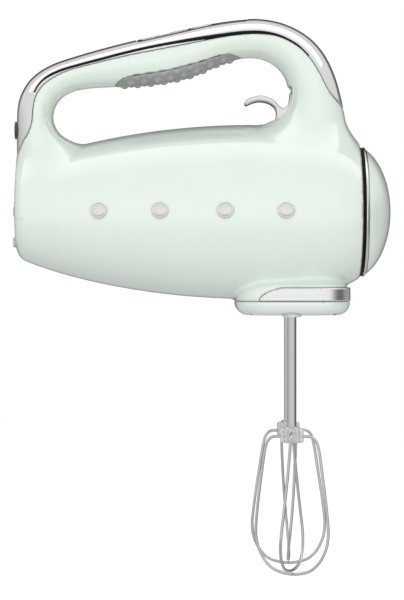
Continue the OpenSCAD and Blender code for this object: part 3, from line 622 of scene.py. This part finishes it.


# the half width along X of the handle's black strip, a painted dark reflection of the trim's crease
REFLECTION_STRIP_HALF = [
    (11, 0.32), (20, 0.68), (85, 0.76), (100, 0.92), (112, 1.1), (126, 1.15), (138, 0.95), (150, 0.55),
    (163, 0.22),
]
reflection_strip_line = curve(REFLECTION_STRIP_LINE, 4)
reflection_strip_half = np.interp(reflection_strip_line[:, 0], *zip(*REFLECTION_STRIP_HALF))
in_trim = region([*curve(TRIM_EDGE, 4), (205, 56.5), (205, 130), (-20, 130), (-20, 26)])
in_reflection_strip = region(strip(reflection_strip_line, reflection_strip_half))
above_reflection_strip = region([(-20, 58), (8.5, 60), *reflection_strip_line, (172, 72), (205, 60), (205, 130), (-20, 130)])
in_grip = region([*curve(GRIP_EDGE, 4), (126.4, 60), (55.5, 60)])
in_band = region([*curve(BAND_EDGE, 6), (200, -41.8), (200, SEAM_Z)])
GAP, TRIM_GAP, SPLIT_GAP = 0.13, 0.24, 0.05
PANEL_TILT, PANEL_X, PANEL_Z, PAD_CORNER = math.radians(12.2), 98.0, 102.4, 2.0


def on_panel(p):
    """Place on the control panel: along the slope, across, and off the surface."""
    x, z = p[:, 0] - PANEL_X, p[:, 2] - PANEL_Z
    c, s = math.cos(PANEL_TILT), math.sin(PANEL_TILT)
    return np.column_stack([x * c + z * s, p[:, 1], z * c - x * s])


def pad(x, length, width):
    """Distance inside a rounded oblong on the panel; far outside below the handle's top."""
    def inside(p):
        q = on_panel(p)
        dx = np.abs(q[:, 0] - x) - length / 2 + PAD_CORNER
        dy = np.abs(q[:, 1]) - width / 2 + PAD_CORNER
        d = np.hypot(np.maximum(dx, 0), np.maximum(dy, 0)) + np.minimum(np.maximum(dx, dy), 0) - PAD_CORNER
        return -np.maximum(d, -9 - q[:, 2])
    return inside


def in_slot(p):
    """Distance inside the lever's slot."""
    d = np.column_stack([np.abs(p[:, 1]) - 5.0, np.abs(p[:, 0] - 150.5) - 11.0, np.abs(p[:, 2] - 54) - 13.0])
    return 2.0 - np.linalg.norm(np.maximum(d, 0), axis=1) - np.minimum(d.max(1), 0)


def outside(field, gap=GAP):
    return lambda p: -field(p) - gap


def inlet_hole(p):
    return np.where(p[:, 0] < 30, np.hypot(p[:, 1], p[:, 2] - INLET_Z) - 5.05, 30)


# ---------- housing shells ----------

base = net(housing_level, (-2, -48, -60), (194, 48, 110), 1.25)
right = [
    lambda p: -p[:, 1] - SPLIT_GAP, lambda p: FRONT_X - p[:, 0], lambda p: p[:, 2] - SEAM_Z,
    outside(in_trim, TRIM_GAP), outside(in_grip), outside(in_band), outside(in_slot),
]
shell = skin_piece("housing_shell_right", base, right, MATERIALS["housing_green"], edge=0.45,
                   keep=lambda p: (p[:, 1] < 3) & (p[:, 0] < 193.5))
stand_for(shell, "housing_right")


def mirrored(source, name):
    """A copy of a piece on the other side of Y = 0."""
    mesh = source.data
    v = np.empty(len(mesh.vertices) * 3)
    mesh.vertices.foreach_get("co", v)
    v = v.reshape(-1, 3) / MM * (1, -1, 1)
    normals = np.empty(len(mesh.loops) * 3, np.float32)
    mesh.corner_normals.foreach_get("vector", normals)
    normals = normals.reshape(-1, 3) * (1, -1, 1)
    faces, order = [], []
    for poly in mesh.polygons:
        loops = list(poly.loop_indices)[::-1]
        faces.append([mesh.loops[i].vertex_index for i in loops])
        order += loops
    return make(name, v, faces, mesh.materials[0], normals=normals[order])


stand_for(mirrored(shell, "housing_shell_left"), "housing_left")

# ---------- trim, black strip of painted reflection, grip, band ---

# the trim is left open over the black strip of painted dark reflection
cover_fields = [in_trim, outside(in_reflection_strip, 0.02), outside(pad(0, 62.4, 15.4), 0), inlet_hole]
on_handle = lambda p: (p[:, 2] > 22) & (handle_level(p) < 3)
handle_base = net(housing_level, (-1, -17, 24), (187, 17, 110), 0.8)
cover = skin_piece("handle_cover_trim", handle_base, cover_fields, MATERIALS["chrome_trim"], depth=1.5,
                   keep=on_handle, guides=[above_reflection_strip])
stand_for(cover, "handle_cover")
REFLECTION_STRIP_SUNK, REFLECTION_STRIP_TUCK = 0.5, 0.5  # how far the black strip, a painted dark reflection, lies under the trim, and runs on beneath its edges
# the handle's black strip: a painted dark reflection of the crease between the trim's chrome faces
wider_reflection_strip = region(strip(reflection_strip_line, reflection_strip_half + REFLECTION_STRIP_TUCK))
reflection_strip = skin_piece("handle_painted_reflection_right", handle_base, [wider_reflection_strip, lambda p: -p[:, 1] - 1],
                  MATERIALS["black_seal"], level=lambda p: housing_level(p) + REFLECTION_STRIP_SUNK, edge=0.2, depth=0.8,
                  keep=lambda p: on_handle(p) & (p[:, 1] < 1), guides=[above_reflection_strip])
stand_for(reflection_strip, "handle_seal")
stand_for(mirrored(reflection_strip, "handle_painted_reflection_left"), "handle_seal")

# pips of the grip: their feet on the handle's underside, in staggered rows
PIP_START, PIP_STEP, PIP_END, PIP_RISE, PIP_R = 61.0, 7.3, 121.5, 2.4, 1.75
PIP_ROWS = ((0.0, 0.0), (5.8, 3.65), (-5.8, 3.65), (9.8, 0.0), (-9.8, 0.0))
pips = np.array([(PIP_START + PIP_STEP * i + shift, y, 62.0) for i in range(9) for y, shift in PIP_ROWS])
pips = pips[pips[:, 0] < PIP_END]
for _ in range(30):
    pips[:, 2] += 0.8 * np.clip(housing_level(pips), -1.5, 1.5)


def grip_level(p):
    f = housing_level(p) - 0.15
    d = np.linalg.norm(p[:, None, :] - pips[None], axis=2)
    return f - PIP_RISE * np.exp(-(d / PIP_R) ** 3).sum(1)


grip_base = net(grip_level, (53, -15, 64), (128, 15, 90), 0.7)
grip = skin_piece("grip_pad_pips", grip_base, [in_grip], MATERIALS["grip_rubber"], level=grip_level, edge=0.3,
                  depth=1.2, keep=lambda p: p[:, 2] < 89)
stand_for(grip, "grip_pad")

band_level = lambda p: round_cut(plan_distance(p) - 0.3, p[:, 2] + 41.0, 0.6)
band_base = net(band_level, (131, -36, -52), (188, 36, -38), 0.8)
band = skin_piece("foot_band_ring", band_base, [in_band], MATERIALS["brushed_band"], level=band_level, edge=0.3,
                  depth=1.4,
                  keep=lambda p: (p[:, 2] < -39) & (p[:, 0] > 130) & (np.abs(plan_distance(p)) < 2.5))
stand_for(band, "foot_band")

# ---------- foot plate ----------


def plate_level(p):
    """The plate under the foot, slightly dished, with a wide round edge."""
    d = plan_distance(p)
    low = FOOT_LOW - p[:, 2] + 0.9 * np.clip(1 + (d - 4) / 25, 0, 1.2) ** 2
    return round_cut(round_cut(d, low, 6.5), p[:, 2] - SEAM_Z + 0.1, 0.3)


def plate_hole(p):
    """Distance outside the holes for beaters and screws."""
    y = np.abs(p[:, 1]) - BEATER_Y
    beater_way = np.hypot(p[:, 0] - BEATER_X, y) - 8.1
    screw_way = np.hypot(np.abs(p[:, 0] - FOOT_MID) - 20.5, y) - 2.9
    return np.where(p[:, 2] < -53, np.minimum(beater_way, screw_way), 5)


plate_base = net(plate_level, (119, -37, -60), (189, 37, -47), 1.0)
plate = skin_piece("foot_plate_shell", plate_base, [plate_hole], MATERIALS["housing_green"], level=plate_level,
                   edge=0.4)
stand_for(plate, "foot_plate")

# ---------- turned pieces ----------


def turned(name, profile, material, place, body="housing", closed=True, segments=128, smooth_angle=35):
    """Sweeps a profile of (distance along the axis, radius) round an axis; place(a, u, v) gives X, Y, Z."""
    prof = np.array(profile, float)
    if closed:
        prof = np.vstack([prof, prof[:1]])
    angle = np.arange(segments) * 2 * math.pi / segments
    verts, faces, rings = [], [], []
    for a, r in prof[:-1] if closed else prof:
        if r < 1e-6:
            rings.append([len(verts)] * segments)
            verts.append(place(a, 0.0, 0.0))
        else:
            rings.append(list(range(len(verts), len(verts) + segments)))
            verts += [place(a, r * math.cos(w), r * math.sin(w)) for w in angle]
    pairs = list(zip(rings, rings[1:] + rings[:1])) if closed else list(zip(rings, rings[1:]))
    for p, q in pairs:
        for j in range(segments):
            k = (j + 1) % segments
            face = list(dict.fromkeys((p[j], p[k], q[k], q[j])))
            if len(face) > 2:
                faces.append(face)
    return make(name, verts, faces, material, body, smooth_angle=smooth_angle)


def rounded(points, r):
    """A closed profile with its corners rounded to radius r, in three steps."""
    pts = np.array(points, float)
    out = []
    for a, b, c in zip(np.roll(pts, 1, 0), pts, np.roll(pts, -1, 0)):
        u, v = unit(a - b), unit(c - b)
        cut = min(r, np.linalg.norm(a - b) / 2.1, np.linalg.norm(c - b) / 2.1)
        for t in (0, 1 / 3, 2 / 3, 1):
            out.append(b + (1 - t) ** 2 * u * cut + t ** 2 * v * cut)
    return out


def nose_r(x):
    """Radius of the nose's ellipse at X."""
    return NOSE_HIGH * math.sqrt(max(0, 1 - ((x - NOSE_MID) / NOSE_LONG) ** 2))


def nose_arc(angles, inset=0.0):
    """Points on the nose's ellipse, or on one that lies inside it."""
    return [(NOSE_MID + (NOSE_LONG - inset) * math.cos(a), (NOSE_HIGH - inset) * math.sin(a)) for a in angles]


NOSE_WALL = 2.4
round_motor = lambda a, u, v: (a, FLAT * u, v)
edge_x = NOSE_X + 0.08
edge_r = nose_r(edge_x)
lip = [(edge_x + 0.18, edge_r - 0.1), (edge_x, edge_r - 0.45), (edge_x, edge_r - 2.0)]
dome = nose_arc(np.linspace(0, math.acos((edge_x + 0.5 - NOSE_MID) / NOSE_LONG), 40))
inner = nose_arc(np.linspace(1.15, 0, 16), NOSE_WALL)
cap = turned("nose_dome", [*dome, *lip, *inner], MATERIALS["housing_green"], round_motor, closed=False)
stand_for(cap, "nose_cap")

r1, r2 = nose_r(RING_X), nose_r(NOSE_X)
ring_rear, ring_front = RING_X + 0.05, NOSE_X - 0.05
ring_profile = [
    (ring_rear, r1 + 0.35), (RING_X + 0.8, r1 + 0.3), (ring_front, r2 + 0.3), (ring_front, r2 - 3),
    (ring_rear, r1 - 3),
]
ring = turned("nose_ring_bright", rounded(ring_profile, 0.45), MATERIALS["chrome_trim"], round_motor)
stand_for(ring, "nose_ring")

body_front = float(body_r(np.array([FRONT_X]))[0])
vent_rear, vent_front = FRONT_X + 0.05, RING_X - 0.02
vent_profile = [
    (vent_rear, body_front - 0.5), (vent_front, r1 - 0.35), (vent_front, r1 - 3.5), (vent_rear, body_front - 4),
]
vent = turned("vent_ring_black", rounded(vent_profile, 0.3), MATERIALS["black_seal"], round_motor)
stand_for(vent, "vent_ring")

gland = turned("cord_inlet_gland", rounded([(0.02, 4.85), (6.4, 4.85), (6.4, 3.6), (0.02, 3.6)], 0.5),
               MATERIALS["gland_rubber"], lambda a, u, v: (a, u, INLET_Z + v), segments=64)
stand_for(gland, "cord_gland")


def stud(name, x, side):
    """A round stud that sits square on the flank."""
    slope = FLAT * float(body_r(np.array([x + 1.0]))[0] - body_r(np.array([x - 1.0]))[0]) / 2
    at = np.array([x, side * FLAT * float(body_r(np.array([x]))[0]), 0])
    out = unit(np.array([-slope, side, 0.0]))
    along = unit(np.array([1.0, side * slope, 0.0]))
    place = lambda a, u, v: tuple(at + out * a + along * u + np.array([0, 0, v]))
    rim = [(-0.4, 4.7), (0.5, 4.7), (0.85, 4.5), (1.0, 4.15), (1.0, 3.9), (0.8, 3.7), (0.8, 3.5)]
    crown = [(0.8 + 0.45 * math.cos(a), 3.5 * math.sin(a)) for a in np.linspace(math.pi / 2, 0, 10)[1:]]
    prof = [*rim, *crown][::side]
    obj = turned(name, prof, MATERIALS["chrome_trim"], place, closed=False, segments=64, smooth_angle=50)
    return stand_for(obj, "side_studs_left" if side > 0 else "side_studs_right")


STUDS_X = (48.5, 81.5, 116.5, 149.0)
for i, x in enumerate(STUDS_X):
    stud(f"stud_right_{i}", x, -1)
    stud(f"stud_left_{i}", x, 1)

# ---------- moulded pieces from level functions ----------


def moulded(name, level, low, high, step, material, body="housing"):
    """A solid piece from a level function, with normals from its gradient."""
    v, tri = net(level, low, high, step)
    n = unit(gradient(level, v, 0.05))
    return make(name, v, tri.tolist(), material, body, n[tri.reshape(-1)])


def block(p, mid, half, r):
    """Distance outside a block with rounded edges."""
    q = np.abs(p - np.array(mid)) - np.array(half) + r
    return np.linalg.norm(np.maximum(q, 0), axis=1) + np.minimum(q.max(1), 0) - r


def heel_bar(z):
    """A flat bar with round ends across the heel."""
    def level(p):
        outline = np.hypot(np.maximum(np.abs(p[:, 1]) - 10, 0), p[:, 2] - z) - 2.78
        return round_cut(outline, np.abs(p[:, 0] - 0.9) - 0.88, 0.6)
    return level


for name, z in ("heel_bar_upper", 0.0), ("heel_bar_lower", -17.0):
    bar = moulded(name, heel_bar(z), (-1, -14, z - 4), (3, 14, z + 4), 0.4, MATERIALS["heel_rubber"])
    stand_for(bar, "heel_feet")

# the eject lever's outline, seen from the side (X, Z)
LEVER_TOP = [
    (127.4, 60.3), (130, 62.8), (136, 64.3), (140.4, 63.6), (144.2, 61.4), (147, 58.4), (149.3, 57.5),
    (151.3, 58.9), (152.4, 61.8), (152.8, 66.4),
]
LEVER_FRONT = [(153.8, 66.2), (154.2, 61), (153.8, 55), (153, 48)]
LEVER_ARM = [
    (155.5, 46.6), (162, 42), (168, 36.6), (171.4, 32.9), (170.6, 31.6), (168.6, 31.8), (162, 36.6),
    (155.5, 40.4), (148, 42),
]
LEVER_UNDER = [
    (143.5, 44.5), (140.4, 47.4), (143.4, 49.6), (145.1, 53), (144.9, 56.6), (143.2, 58.9), (140.4, 60.5),
    (136.2, 61.3), (132.2, 60.6), (128.2, 58.8),
]
in_lever = region([*curve(LEVER_TOP, 4), *LEVER_FRONT, *LEVER_ARM, *curve(LEVER_UNDER, 4)])


def lever_level(p):
    """The lever with its boss, bored for the pin."""
    from_pin = np.hypot(p[:, 0] - PIVOT_X, p[:, 2] - PIVOT_Z)
    solid = round_cut(np.minimum(-in_lever(p), from_pin - 4), np.abs(p[:, 1]) - 6.5, 1.05)
    return round_cut(solid, 1.55 - from_pin, 0.2)


lever_step = 0.45
lever = moulded("eject_lever_hook", lever_level, (126, -7.5, 30), (173, 7.5, 68), lever_step,
                MATERIALS["chrome_trim"], "eject_lever")
stand_for(lever, "eject_lever")

# ---------- control panel ----------


def key_level(x, length, width, rise, edge):
    """A plate that follows the handle's top, with a rounded edge."""
    plan, depth = pad(x, length, width), 1.6

    def level(p):
        f = housing_level(p)
        return round_cut(round_cut(-plan(p), f - rise, edge), -f - depth, 0.2)
    return level


DISPLAY_AT, TURBO_AT, ROCKER_AT = 21, 5.5, -15  # middles along the panel
DISPLAY_L, TURBO_L, ROCKER_L, KEY_W = 15.9, 10.6, 25.4, 10.6


def panel_level(p):
    """The bezel, open over the display and both keys."""
    openings = ((DISPLAY_AT, 16.2), (TURBO_AT, 11.2), (ROCKER_AT, 26.2))
    frame_hole = np.max([pad(x, length, 11.2)(p) for x, length in openings], axis=0)
    return round_cut(key_level(0, 61.8, 14.8, -0.12, 0.35)(p), frame_hole, 0.15)


def turbo_level(p):
    """A key with a round dish for the thumb."""
    q = on_panel(p)
    dish = 0.35 * np.exp(-(((q[:, 0] - TURBO_AT) ** 2 + q[:, 1] ** 2) / 3.2 ** 2) ** 2)
    return key_level(TURBO_AT, TURBO_L, KEY_W, 0.02, 0.5)(p) + dish


def rocker_level(p):
    """Dipped in the middle, with a sunk plus and minus."""
    q = on_panel(p)
    x, y = q[:, 0] - ROCKER_AT, q[:, 1]
    bar = lambda dx, half_x, half_y: np.maximum(np.abs(x - dx) - half_x, np.abs(y) - half_y)
    signs = np.min([bar(7.5, 1.9, 0.42), bar(7.5, 0.42, 1.9), bar(-7.5, 0.42, 1.9)], axis=0)
    sunk = 0.3 * smooth(0.5 - signs / 0.5) + 0.35 * np.exp(-(x / 2.6) ** 2)
    return key_level(ROCKER_AT, ROCKER_L, KEY_W, -0.08, 0.5)(p) + sunk


def panel_box(x, length, width):
    """A box round a plate of the panel."""
    ends = [PANEL_X + (x + side * length / 2) * math.cos(PANEL_TILT) for side in (-1, 1)]
    zs = [PANEL_Z + (x + side * length / 2) * math.sin(PANEL_TILT) for side in (-1, 1)]
    return (ends[0] - 1.5, -width / 2 - 1, zs[0] - 6), (ends[1] + 1.5, width / 2 + 1, zs[1] + 6)


display_level = key_level(DISPLAY_AT, DISPLAY_L, 10.9, -0.16, 0.25)
for name, level, x, length, width, step, finish, node, body in (
    ("panel_bezel", panel_level, 0, 62, 15, 0.5, "panel_black", "control_panel", "housing"),
    ("panel_display", display_level, DISPLAY_AT, 16, 11, 0.45, "display_smoke", "display_window", "housing"),
    ("turbo_key", turbo_level, TURBO_AT, TURBO_L, KEY_W, 0.35, "key_grey", "turbo_button", "turbo_button"),
    ("speed_key", rocker_level, ROCKER_AT, ROCKER_L, KEY_W, 0.35, "key_grey", "speed_rocker", "speed_rocker"),
):
    box_low, box_high = panel_box(x, length, width)
    stand_for(moulded(name, level, box_low, box_high, step, MATERIALS[finish], body), node)

# ---------- collars under the foot ----------

COLLAR = [(-54.6, 5.2), (-57.3, 5.2), (-57.9, 4.8), (-57.9, 3.1), (-54.6, 3.1)]  # height, radius
for side, tag in (1, "left"), (-1, "right"):
    collar = turned(f"foot_collar_{tag}", rounded(COLLAR, 0.4), MATERIALS["ejector_nylon"],
                    lambda a, u, v, y=BEATER_Y * side: (BEATER_X + u, y + v, a), segments=64)
    stand_for(collar, "foot_bushes")

# ---------- beaters ----------

HUB_TOP, HUB_LOW, WIRE_Z, CAGE_R, CAGE_LOW, WIRE_R = -117.4, -126.4, -123.0, 20.6, -199.0, 0.8
LIFT, TWIST = 2.05, -20.0  # height of the second loop over the first, and each loop's turn in degrees
SHAFT_R, HUB_HALF = 2.5, 7.5


def tube(path, r, sides=14):
    """Vertices and faces of a round wire along a path, with closed ends."""
    path = np.asarray(path, float)
    t = unit(np.gradient(path, axis=0))
    side = unit(np.cross(t[0], (0.0, 0.0, 1.0)) if abs(t[0][2]) < 0.9 else np.cross(t[0], (0.0, 1.0, 0.0)))
    verts, faces = [], []
    for i, (c, d) in enumerate(zip(path, t)):
        side = unit(side - d * (side @ d))
        up = np.cross(d, side)
        for j in range(sides):
            a = 2 * math.pi * j / sides
            verts.append(c + r * (side * math.cos(a) + up * math.sin(a)))
        if i:
            low = (i - 1) * sides
            high = low + sides
            corners = [(j, (j + 1) % sides) for j in range(sides)]
            faces += [[low + j, low + k, high + k, high + j] for j, k in corners]
    faces.append(list(range(sides))[::-1])
    faces.append(list(range(len(verts) - sides, len(verts))))
    return verts, faces


# half of a loop: radius, height, and share of the second loop's lift
LOOP = [
    (2.4, WIRE_Z, 1), (7.5, WIRE_Z, 1), (10.9, WIRE_Z - 0.3, 0.95), (13.4, WIRE_Z - 2.8, 0.7),
    (14.9, WIRE_Z - 8, 0.4), (16.6, WIRE_Z - 20, 0.2), (18.5, WIRE_Z - 33, 0.1), (20.1, WIRE_Z - 46, 0.1),
    (CAGE_R, WIRE_Z - 53, 0.2), (CAGE_R * 0.96, WIRE_Z - 60, 0.4), (CAGE_R * 0.8, WIRE_Z - 67.4, 0.7),
    (CAGE_R * 0.55, WIRE_Z - 72.5, 0.9), (CAGE_R * 0.28, CAGE_LOW + WIRE_R + 0.7, 1), (0, CAGE_LOW + WIRE_R, 1),
]


def wire_path(at, turn, lift):
    """A wire loop that twists a little on its way down."""
    half = [(r, z + share * lift) for r, z, share in LOOP]
    line = curve([*half, *[(-r, z) for r, z in half[-2::-1]]], 8)
    for _ in range(6):
        line[1:-1] = (line[:-2] + 2 * line[1:-1] + line[2:]) / 4
    a = np.radians(turn + TWIST * (WIRE_Z - line[:, 1]) / (WIRE_Z - CAGE_LOW))
    return at + np.column_stack([line[:, 0] * np.cos(a), line[:, 0] * np.sin(a), line[:, 1]])


def beater(side, turn, tag):
    """Wire loops, shaft and hub of one beater, turned by some degrees."""
    body = "beater_" + tag
    at = np.array([BEATER_X, side * BEATER_Y, 0])
    verts, faces = [], []
    for lift, extra in ((0.0, 0.0), (LIFT, 90.0)):
        v, f = tube(wire_path(at, turn + extra, lift), WIRE_R)
        faces += [[i + len(verts) for i in face] for face in f]
        verts += v
    wires = make(f"beater_loops_{tag}", verts, faces, MATERIALS["beater_steel"], body, smooth_angle=60)
    stand_for(wires, "beater_wires_" + tag)
    round_at = lambda a, u, v: (at[0] + u, at[1] + v, a)
    rod = [(-20, 0), (-20, SHAFT_R - 0.3), (-20.4, SHAFT_R), (HUB_TOP - 2, SHAFT_R), (HUB_TOP - 2, 0)]
    shaft = turned(f"beater_rod_{tag}", rod, MATERIALS["beater_steel"], round_at, body, closed=False,
                   segments=48)
    stand_for(shaft, "beater_shaft_" + tag)
    a = math.radians(turn)
    c, s = math.cos(a), math.sin(a)

    def hub_level(p):
        x, y, z = p[:, 0] - at[0], p[:, 1] - at[1], p[:, 2]
        u, v = x * c + y * s, y * c - x * s
        q = np.column_stack([u, v, z])
        mid = (HUB_TOP + HUB_LOW) / 2
        core = block(q, (0, 0, mid), (3.9, 3.9, 4.5), 1.2)
        low = mid - 0.5
        lobes = [block(q, (0, 0, low), half, 0.9) for half in ((6.4, 1.75, 4.0), (1.75, 6.4, 4.0))]
        return round_union(core, np.minimum(*lobes), 0.8)

    box_low = (at[0] - HUB_HALF, at[1] - HUB_HALF, HUB_LOW - 1)
    box_high = (at[0] + HUB_HALF, at[1] + HUB_HALF, HUB_TOP + 1)
    hub = moulded(f"beater_collar_{tag}", hub_level, box_low, box_high, 0.45, MATERIALS["hub_nylon"], body)
    stand_for(hub, "beater_hub_" + tag)


beater(1, 15.0, "left")
beater(-1, -5.0, "right")

# ---------- ejector spring, a coil filling the CAD spring's box ---

spring_low, spring_high = (np.array(c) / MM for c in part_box("ejector_spring"))
SPRING_R, COIL_R, TURNS, EJECT_TRAVEL = 4.2, 0.45, 4.5, 5.5
t = np.linspace(0, 1, 160)
a = 2 * math.pi * TURNS * t
z = spring_low[2] + COIL_R + (spring_high[2] - spring_low[2] - 2 * COIL_R) * t
coil = np.column_stack([BEATER_X + SPRING_R * np.cos(a), SPRING_R * np.sin(a), z])
spring = make("ejector_coil", *tube(coil, COIL_R, 10), MATERIALS["spring_steel"], "housing", smooth_angle=60)
stand_for(spring, "ejector_spring")
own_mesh(spring)

# ---------- stage ----------

FLOOR_GAP = 0.0012  # metres between the ejected beaters and the floor
floor_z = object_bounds()[0][2] - EJECT_TRAVEL * MM - FLOOR_GAP


def mix_colors(tree, fac, a, b, kind="MIX"):
    """A colour mix; a and b are colours or sockets, and fac a socket or, for a full mix, None."""
    node = tree.nodes.new("ShaderNodeMixRGB")
    node.blend_type = kind
    set_inputs(node, Fac=1.0)
    if fac:
        tree.links.new(fac, node.inputs["Fac"])
    for socket, value in ((node.inputs["Color1"], a), (node.inputs["Color2"], b)):
        if isinstance(value, tuple):
            socket.default_value = (*value, 1)
        else:
            tree.links.new(value, socket)
    return node.outputs["Color"]


def stage_disc():
    """A pale floor that turns to the white of the backdrop far out."""
    mesh = bpy.data.meshes.new("floor")
    bm = bmesh.new()
    bmesh.ops.create_circle(bm, cap_ends=True, segments=128, radius=30.0)
    bm.to_mesh(mesh)
    bm.free()
    obj = bpy.data.objects.new("floor", mesh)
    obj.location = (0.1, 0, floor_z)
    bpy.context.scene.collection.objects.link(obj)
    mat = bpy.data.materials.new("floor")
    mat.use_nodes = True
    tree = mat.node_tree
    add, link = tree.nodes.new, tree.links.new
    bsdf = tree.nodes["Principled BSDF"]
    set_inputs(bsdf, Roughness=0.9, Specular_IOR_Level=0.0, Base_Color=(0.75, 0.75, 0.75, 1),
               Emission_Strength=0.52, Emission_Color=(1, 1, 1, 1))
    glow = add("ShaderNodeEmission")
    set_inputs(glow, Color=(1, 1, 1, 1))
    mix = add("ShaderNodeMixShader")
    where = add("ShaderNodeTexCoord")
    length = add("ShaderNodeVectorMath")
    length.operation = "LENGTH"
    fade = add("ShaderNodeMapRange")
    set_inputs(fade, From_Min=0.35, From_Max=1.2)
    link(where.outputs["Object"], length.inputs[0])
    link(length.outputs["Value"], fade.inputs["Value"])
    link(fade.outputs["Result"], mix.inputs["Fac"])
    link(bsdf.outputs["BSDF"], mix.inputs[1])
    link(glow.outputs["Emission"], mix.inputs[2])
    link(mix.outputs["Shader"], tree.nodes["Material Output"].inputs["Surface"])
    mesh.materials.append(mat)
    obj.visible_diffuse = obj.visible_glossy = False


stage_disc()

LIGHT_Z, LIGHT_L, LIGHT_STEP = 1.6, 5.0, 8  # metres, metres, degrees
LIGHT_GLOWS = (1.15, 1.0, 0.75, 0.45, 0.22, 0.08)


def softbox(name, angle, glow):
    """A long light that shows only in the gloss; its angle is up from the camera's side."""
    y0, y1 = (-LIGHT_Z / math.tan(math.radians(a)) for a in (angle, angle + LIGHT_STEP))
    light = bpy.data.lights.new(name, "AREA")
    light.shape = "RECTANGLE"
    light.size, light.size_y = LIGHT_L, y1 - y0
    light.energy = glow * math.pi * LIGHT_L * (y1 - y0)
    obj = bpy.data.objects.new(name, light)
    obj.location = (0.1, (y0 + y1) / 2, LIGHT_Z)
    bpy.context.scene.collection.objects.link(obj)
    obj.visible_diffuse = False


for i, glow in enumerate(LIGHT_GLOWS):
    softbox(f"light_over_{i}", 90 - LIGHT_STEP * i, glow)


def ramp(tree, source, stops):
    """A grey colour ramp with (position, value) stops."""
    node = tree.nodes.new("ShaderNodeValToRGB")
    items = node.color_ramp.elements
    while len(items) < len(stops):
        items.new(0.5)
    for item, (at, value) in zip(items, stops):
        item.position = at
        item.color = (value, value, value, 1)
    tree.links.new(source, node.inputs["Fac"])
    return node.outputs["Color"]


def studio():
    """White to the camera; brighter from the camera's side as light; dark-edged in reflections."""
    world = bpy.data.worlds.new("studio")
    bpy.context.scene.world = world
    world.use_nodes = True
    tree = world.node_tree
    add, link = tree.nodes.new, tree.links.new
    where = add("ShaderNodeTexCoord")
    parts = add("ShaderNodeSeparateXYZ")
    link(where.outputs["Generated"], parts.inputs["Vector"])
    place = {}
    for axis in "XYZ":
        node = add("ShaderNodeMapRange")
        set_inputs(node, From_Min=-1.0)
        link(parts.outputs[axis], node.inputs["Value"])
        place[axis] = node.outputs["Result"]

    def along(axis, *stops):
        return ramp(tree, place[axis], stops)

    light = along("Y", (0.0, 1.68), (0.25, 0.93), (0.5, 0.52), (0.75, 0.58), (1.0, 0.88))
    light = mix_colors(tree, None, light, along("Z", (0.0, 0.62), (0.4, 1.0)), "MULTIPLY")
    rear = along("Y", (0.0, 1.0), (0.3, 0.85), (0.8, 0.6), (0.92, 0.3), (0.97, 0.1))
    front = along("Y", (0.0, 1.0), (0.2, 0.95), (0.3, 0.5), (0.37, 0.18), (0.58, 0.1), (0.7, 0.35), (0.9, 0.35),
                  (0.97, 0.1))
    sides = mix_colors(tree, along("X", (0.45, 0.0), (0.6, 1.0)), rear, front)
    upper = along("Y", (0.0, 0.9), (0.78, 0.86), (0.84, 0.42), (0.88, 0.14), (0.93, 0.05))
    shine = mix_colors(tree, along("Z", (0.52, 0.0), (0.64, 1.0)), sides, upper)
    shine = mix_colors(tree, along("Z", (0.28, 1.0), (0.42, 0.0)), shine, (0.6, 0.6, 0.6))
    rays = add("ShaderNodeLightPath")
    shown = mix_colors(tree, rays.outputs["Is Glossy Ray"], light, shine)
    shown = mix_colors(tree, rays.outputs["Is Camera Ray"], shown, (1.0, 1.0, 1.0))
    link(shown, tree.nodes["Background"].inputs["Color"])


studio()
